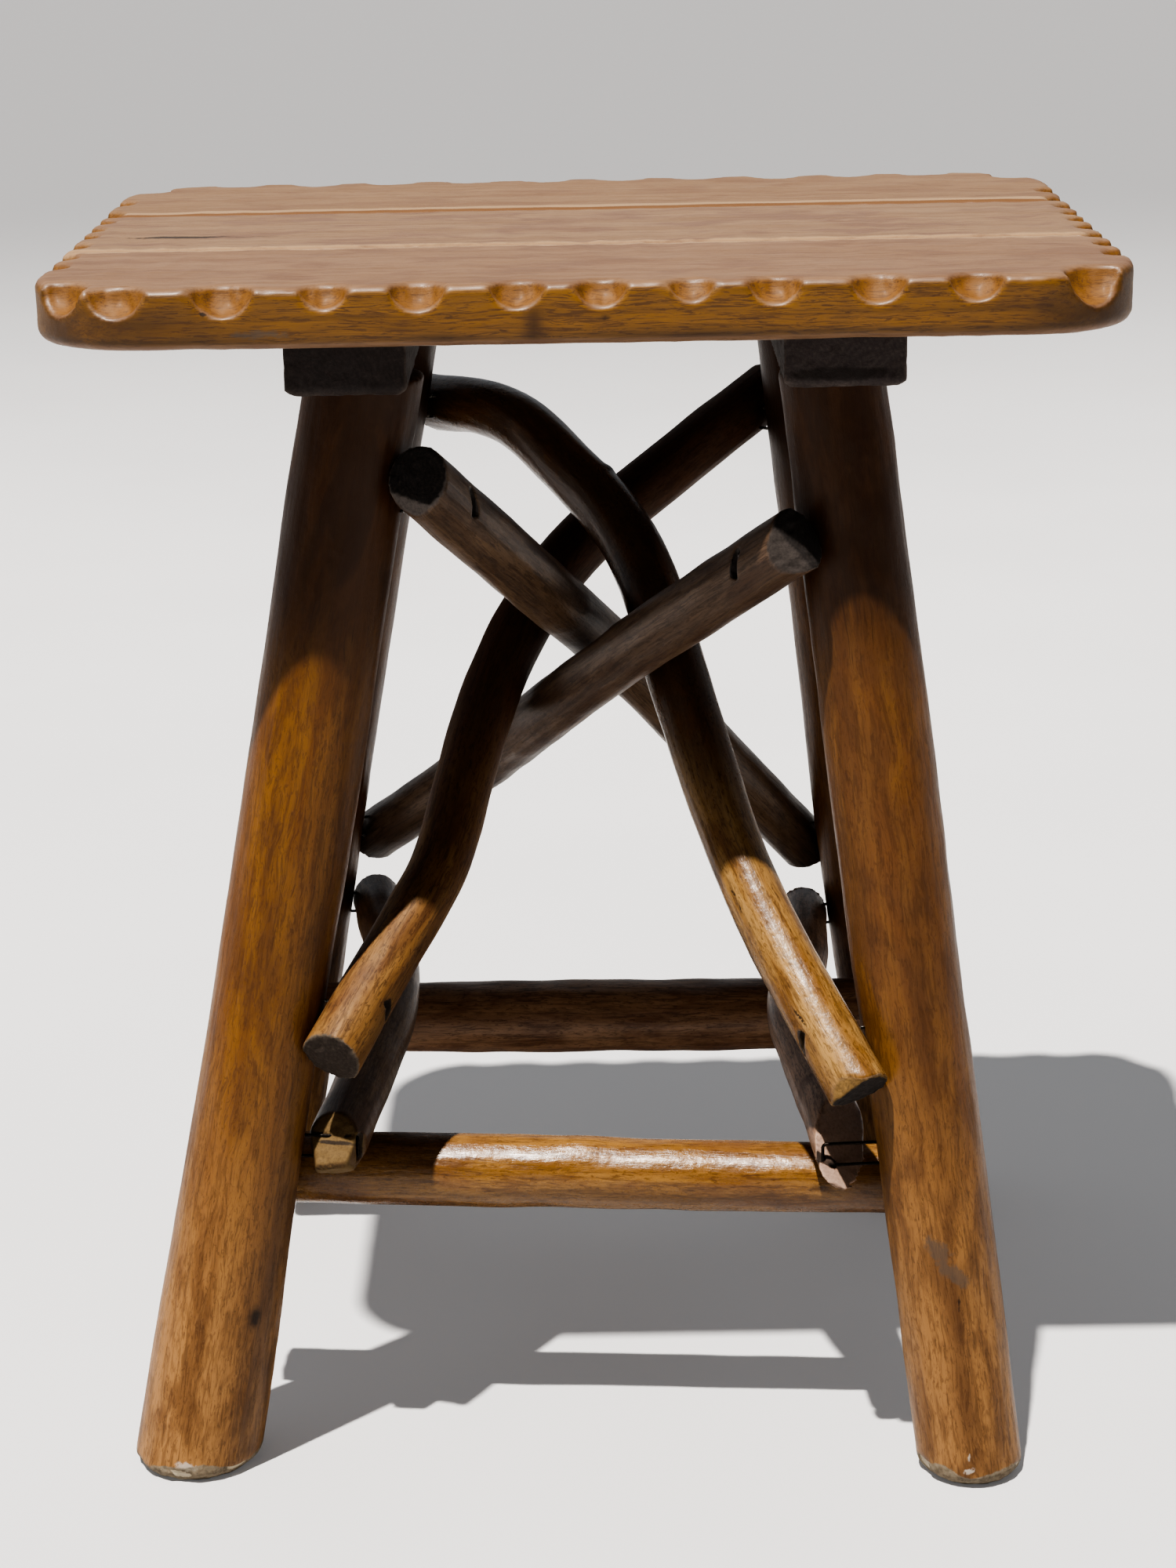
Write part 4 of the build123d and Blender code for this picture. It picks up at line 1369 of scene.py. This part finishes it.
LEG_SPOTS = (
    marks(Kind.KNOT, (328, 1684, 6.0, 3.2, 0.85))
    + marks(Kind.SCUFF, (236, 1876, 2.6, 6, 1.0))
    # The first three bands, down the front left leg's right side, are painted shade.
    + marks(Kind.SHADE, (345, 1640, 48, 7, 0.8), (400, 1440, 60, 6, 0.8), (435, 1230, 60, 7, 0.8),
            (255, 1700, 40, 1.4, 0.9)),
    marks(Kind.SMUDGE, (1194, 1598, 8, 4.2, 0.9, 34.0), (1222, 1628, 9, 3.6, 0.95, 44.0))
    + marks(Kind.STAIN, (1228, 1665, 9, 0.7, 0.6))
    + marks(Kind.SHADE, (1225, 1690, 26, 1.6, 1.0), (1236, 1790, 34, 5.0, 1.0), (1170, 1250, 70, 6, 0.7),
            (1100, 985, 30, 10, 0.6))
    + marks(Kind.SCUFF, (1236, 1880, 1.8, 3.0, 1.0), (1237, 1862, 2.0, 0.7, 1.0)),
    (),
    (),
)
STRETCHER_FINISHES = (
    WoodFinish("front_stretcher_wood", (0.165, 0.079, 0.020), (0.220, 0.115, 0.036), (0.050, 0.019, 0.006),
               (0.120, 0.052, 0.018), 91.0, gloss=0.28, coat=0.16, coat_roughness=0.16, pebble=2.2, rim_amount=0.2),
    WoodFinish("rear_stretcher_wood", (0.190, 0.098, 0.050), (0.260, 0.146, 0.078), (0.045, 0.018, 0.008),
               (0.100, 0.040, 0.017), 97.0, gloss=0.40, rim_amount=0.2),
)
STRETCHER_SPOTS = (
    marks(Kind.KNOT, (1040, 1520, 6, 2.4, 0.5), (735, 1452, 10, 6, 0.1, 0.0, 0.8)),
    marks(Kind.KNOT, (700, 1262, 10, 6, 0.1, 0.0, 0.9), (860, 1262, 9, 6, 0.1, 0.0, 0.7)),
)
RAIL_FINISHES = (
    WoodFinish("left_rail_wood", (0.105, 0.055, 0.026), (0.150, 0.086, 0.040), (0.034, 0.015, 0.007),
               (0.075, 0.032, 0.014), 103.0, end_dark=(0.050, 0.027, 0.010), end_pale=(0.150, 0.088, 0.034),
               ring_share=0.8, facet=(0.125, 0.078, 0.030)),
    # The right rail's cut end and facets are much paler than the left rail's: painted light, offsetting the shade
    # that falls on its tip.
    WoodFinish("right_rail_wood", (0.215, 0.130, 0.084), (0.30, 0.19, 0.128), (0.034, 0.017, 0.011),
               (0.075, 0.036, 0.022), 109.0, end_dark=(0.13, 0.085, 0.060), end_pale=(0.23, 0.155, 0.115),
               ring_share=0.7, facet=(0.32, 0.22, 0.165)),
)
RAIL_SPOTS = (marks(Kind.STAIN, (427, 1453, 10, 0.9, 1.0, 80.0)), ())
FRONT_BRANCH = {"across": 640.0, "along": 36.0, "rim": (0.14, 0.115, 0.10)}
# REAR_BRANCH holds the height where the rear branches' painted shade starts.
REAR_BRANCH = {"across": 640.0, "along": 60.0, "sway": 3.0 * MM, "painted_shade_height": 0.235}
BRANCH_FINISHES = (
    WoodFinish("front_left_branch_wood", (0.080, 0.046, 0.025), (0.135, 0.084, 0.049), (0.024, 0.012, 0.007),
               (0.052, 0.026, 0.013), 113.0, coat=0.12, facet=(0.105, 0.088, 0.078), **FRONT_BRANCH),
    WoodFinish("front_right_branch_wood", (0.084, 0.050, 0.029), (0.135, 0.085, 0.053), (0.026, 0.013, 0.008),
               (0.060, 0.029, 0.015), 127.0, gloss=0.44, coat=0.10, facet=(0.058, 0.047, 0.041), **FRONT_BRANCH),
    # The rear branches' crown colours are painted shade for the seat's shadow on their upper parts.
    WoodFinish("rear_left_branch_wood", (0.205, 0.110, 0.036), (0.295, 0.178, 0.070), (0.040, 0.016, 0.005),
               (0.110, 0.046, 0.012), 131.0, gloss=0.30, coat=0.24, coat_roughness=0.19, pebble=1.8,
               crown=(0.030, 0.013, 0.008), painted_shade_share=0.85, facet=(0.22, 0.13, 0.045), **REAR_BRANCH),
    WoodFinish("rear_right_branch_wood", (0.135, 0.064, 0.020), (0.190, 0.102, 0.035), (0.034, 0.013, 0.005),
               (0.085, 0.034, 0.012), 137.0, gloss=0.60, coat=0.0, shine=0.22, crown=(0.046, 0.021, 0.013),
               painted_shade_share=0.8, end_dark=(0.040, 0.030, 0.024), end_pale=(0.09, 0.07, 0.055),
               facet=(0.10, 0.08, 0.06), **REAR_BRANCH),
)
BRANCH_SPOTS = (
    (),
    (),
    marks(Kind.KNOT, (783, 592, 3, 3, 0.9, 0.0, 0.9))
    + marks(Kind.STAIN, (1016, 1300, 6, 0.7, 0.8, 10.0), (1028, 1326, 4, 0.6, 0.5, -16.0),
            (930, 1140, 5, 0.6, 0.7, 14.0), (940, 1162, 4, 0.6, 0.7, -12.0)),
    (),
)


def woodwork(staples: tuple[Staple, ...]) -> tuple[Woodwork, ...]:
    """The stool's wooden sub-assemblies, with their sizes.

    Args:
        staples: all the staples; each darkens the slot it was driven into.

    Returns:
        The sub-assemblies, from the seat down.
    """
    return (
        Seat(names=("front_board", "middle_board", "rear_board"), slot="seat_board", finishes=SEAT_FINISHES,
             spots=SEAT_SPOTS, skin=1.3 * MM, smoothing=2),
        Cleats(names=("left_cleat", "right_cleat"), slot="cleat_wood", finishes=CLEAT_FINISHES, spots=CLEAT_SPOTS,
               skin=1.1 * MM, smoothing=2),
        Legs(names=("front_left_leg", "front_right_leg", "rear_left_leg", "rear_right_leg"), slot="leg_wood",
             finishes=LEG_FINISHES, spots=LEG_SPOTS, staples=staples, girth=44 * MM, toward=(0, 0, 1),
             skin=1.4 * MM, smoothing=3, swell=0.5 * MM, dents=0.16 * MM, ridges=0.10 * MM, seed=200),
        Poles(names=("front_stretcher", "rear_stretcher"), slot="stretcher_wood", finishes=STRETCHER_FINISHES,
              spots=STRETCHER_SPOTS, staples=staples, girth=30 * MM, toward=(1, 0, 0), skin=1.1 * MM, smoothing=2,
              swell=0.7 * MM, dents=0.25 * MM, ridges=0.09 * MM, seed=300),
        Poles(names=("left_side_rail", "right_side_rail"), slot="rail_wood", finishes=RAIL_FINISHES, spots=RAIL_SPOTS,
              staples=staples, girth=23 * MM, toward=(0, 1, 0), skin=0.95 * MM, smoothing=2, swell=0.5 * MM,
              dents=0.25 * MM, ridges=0.08 * MM, seed=400),
        Poles(names=("front_left_branch", "front_right_branch", "rear_left_branch", "rear_right_branch"),
              slot="branch_wood", finishes=BRANCH_FINISHES, spots=BRANCH_SPOTS, staples=staples, girth=24 * MM,
              toward=(0, 1, 0), skin=0.9 * MM, smoothing=2, swell=0.6 * MM, dents=0.25 * MM, ridges=0.08 * MM,
              seed=500),
    )


def main() -> None:
    """Builds and dresses the stool, one sub-assembly after another."""
    logging.basicConfig(level=logging.INFO, format="%(name)s %(message)s")
    effects = Effects()
    fastenings = Fastenings()
    for work in woodwork(fastenings.staples()):
        work.build()
        work.dress(effects)
    fastenings.build()
    studio = Studio()
    studio.lay_floor()
    studio.hang_lights()
    studio.set_camera()
    bpy.context.scene.view_settings.look = LOOK


if __name__ == "__main__":
    main()
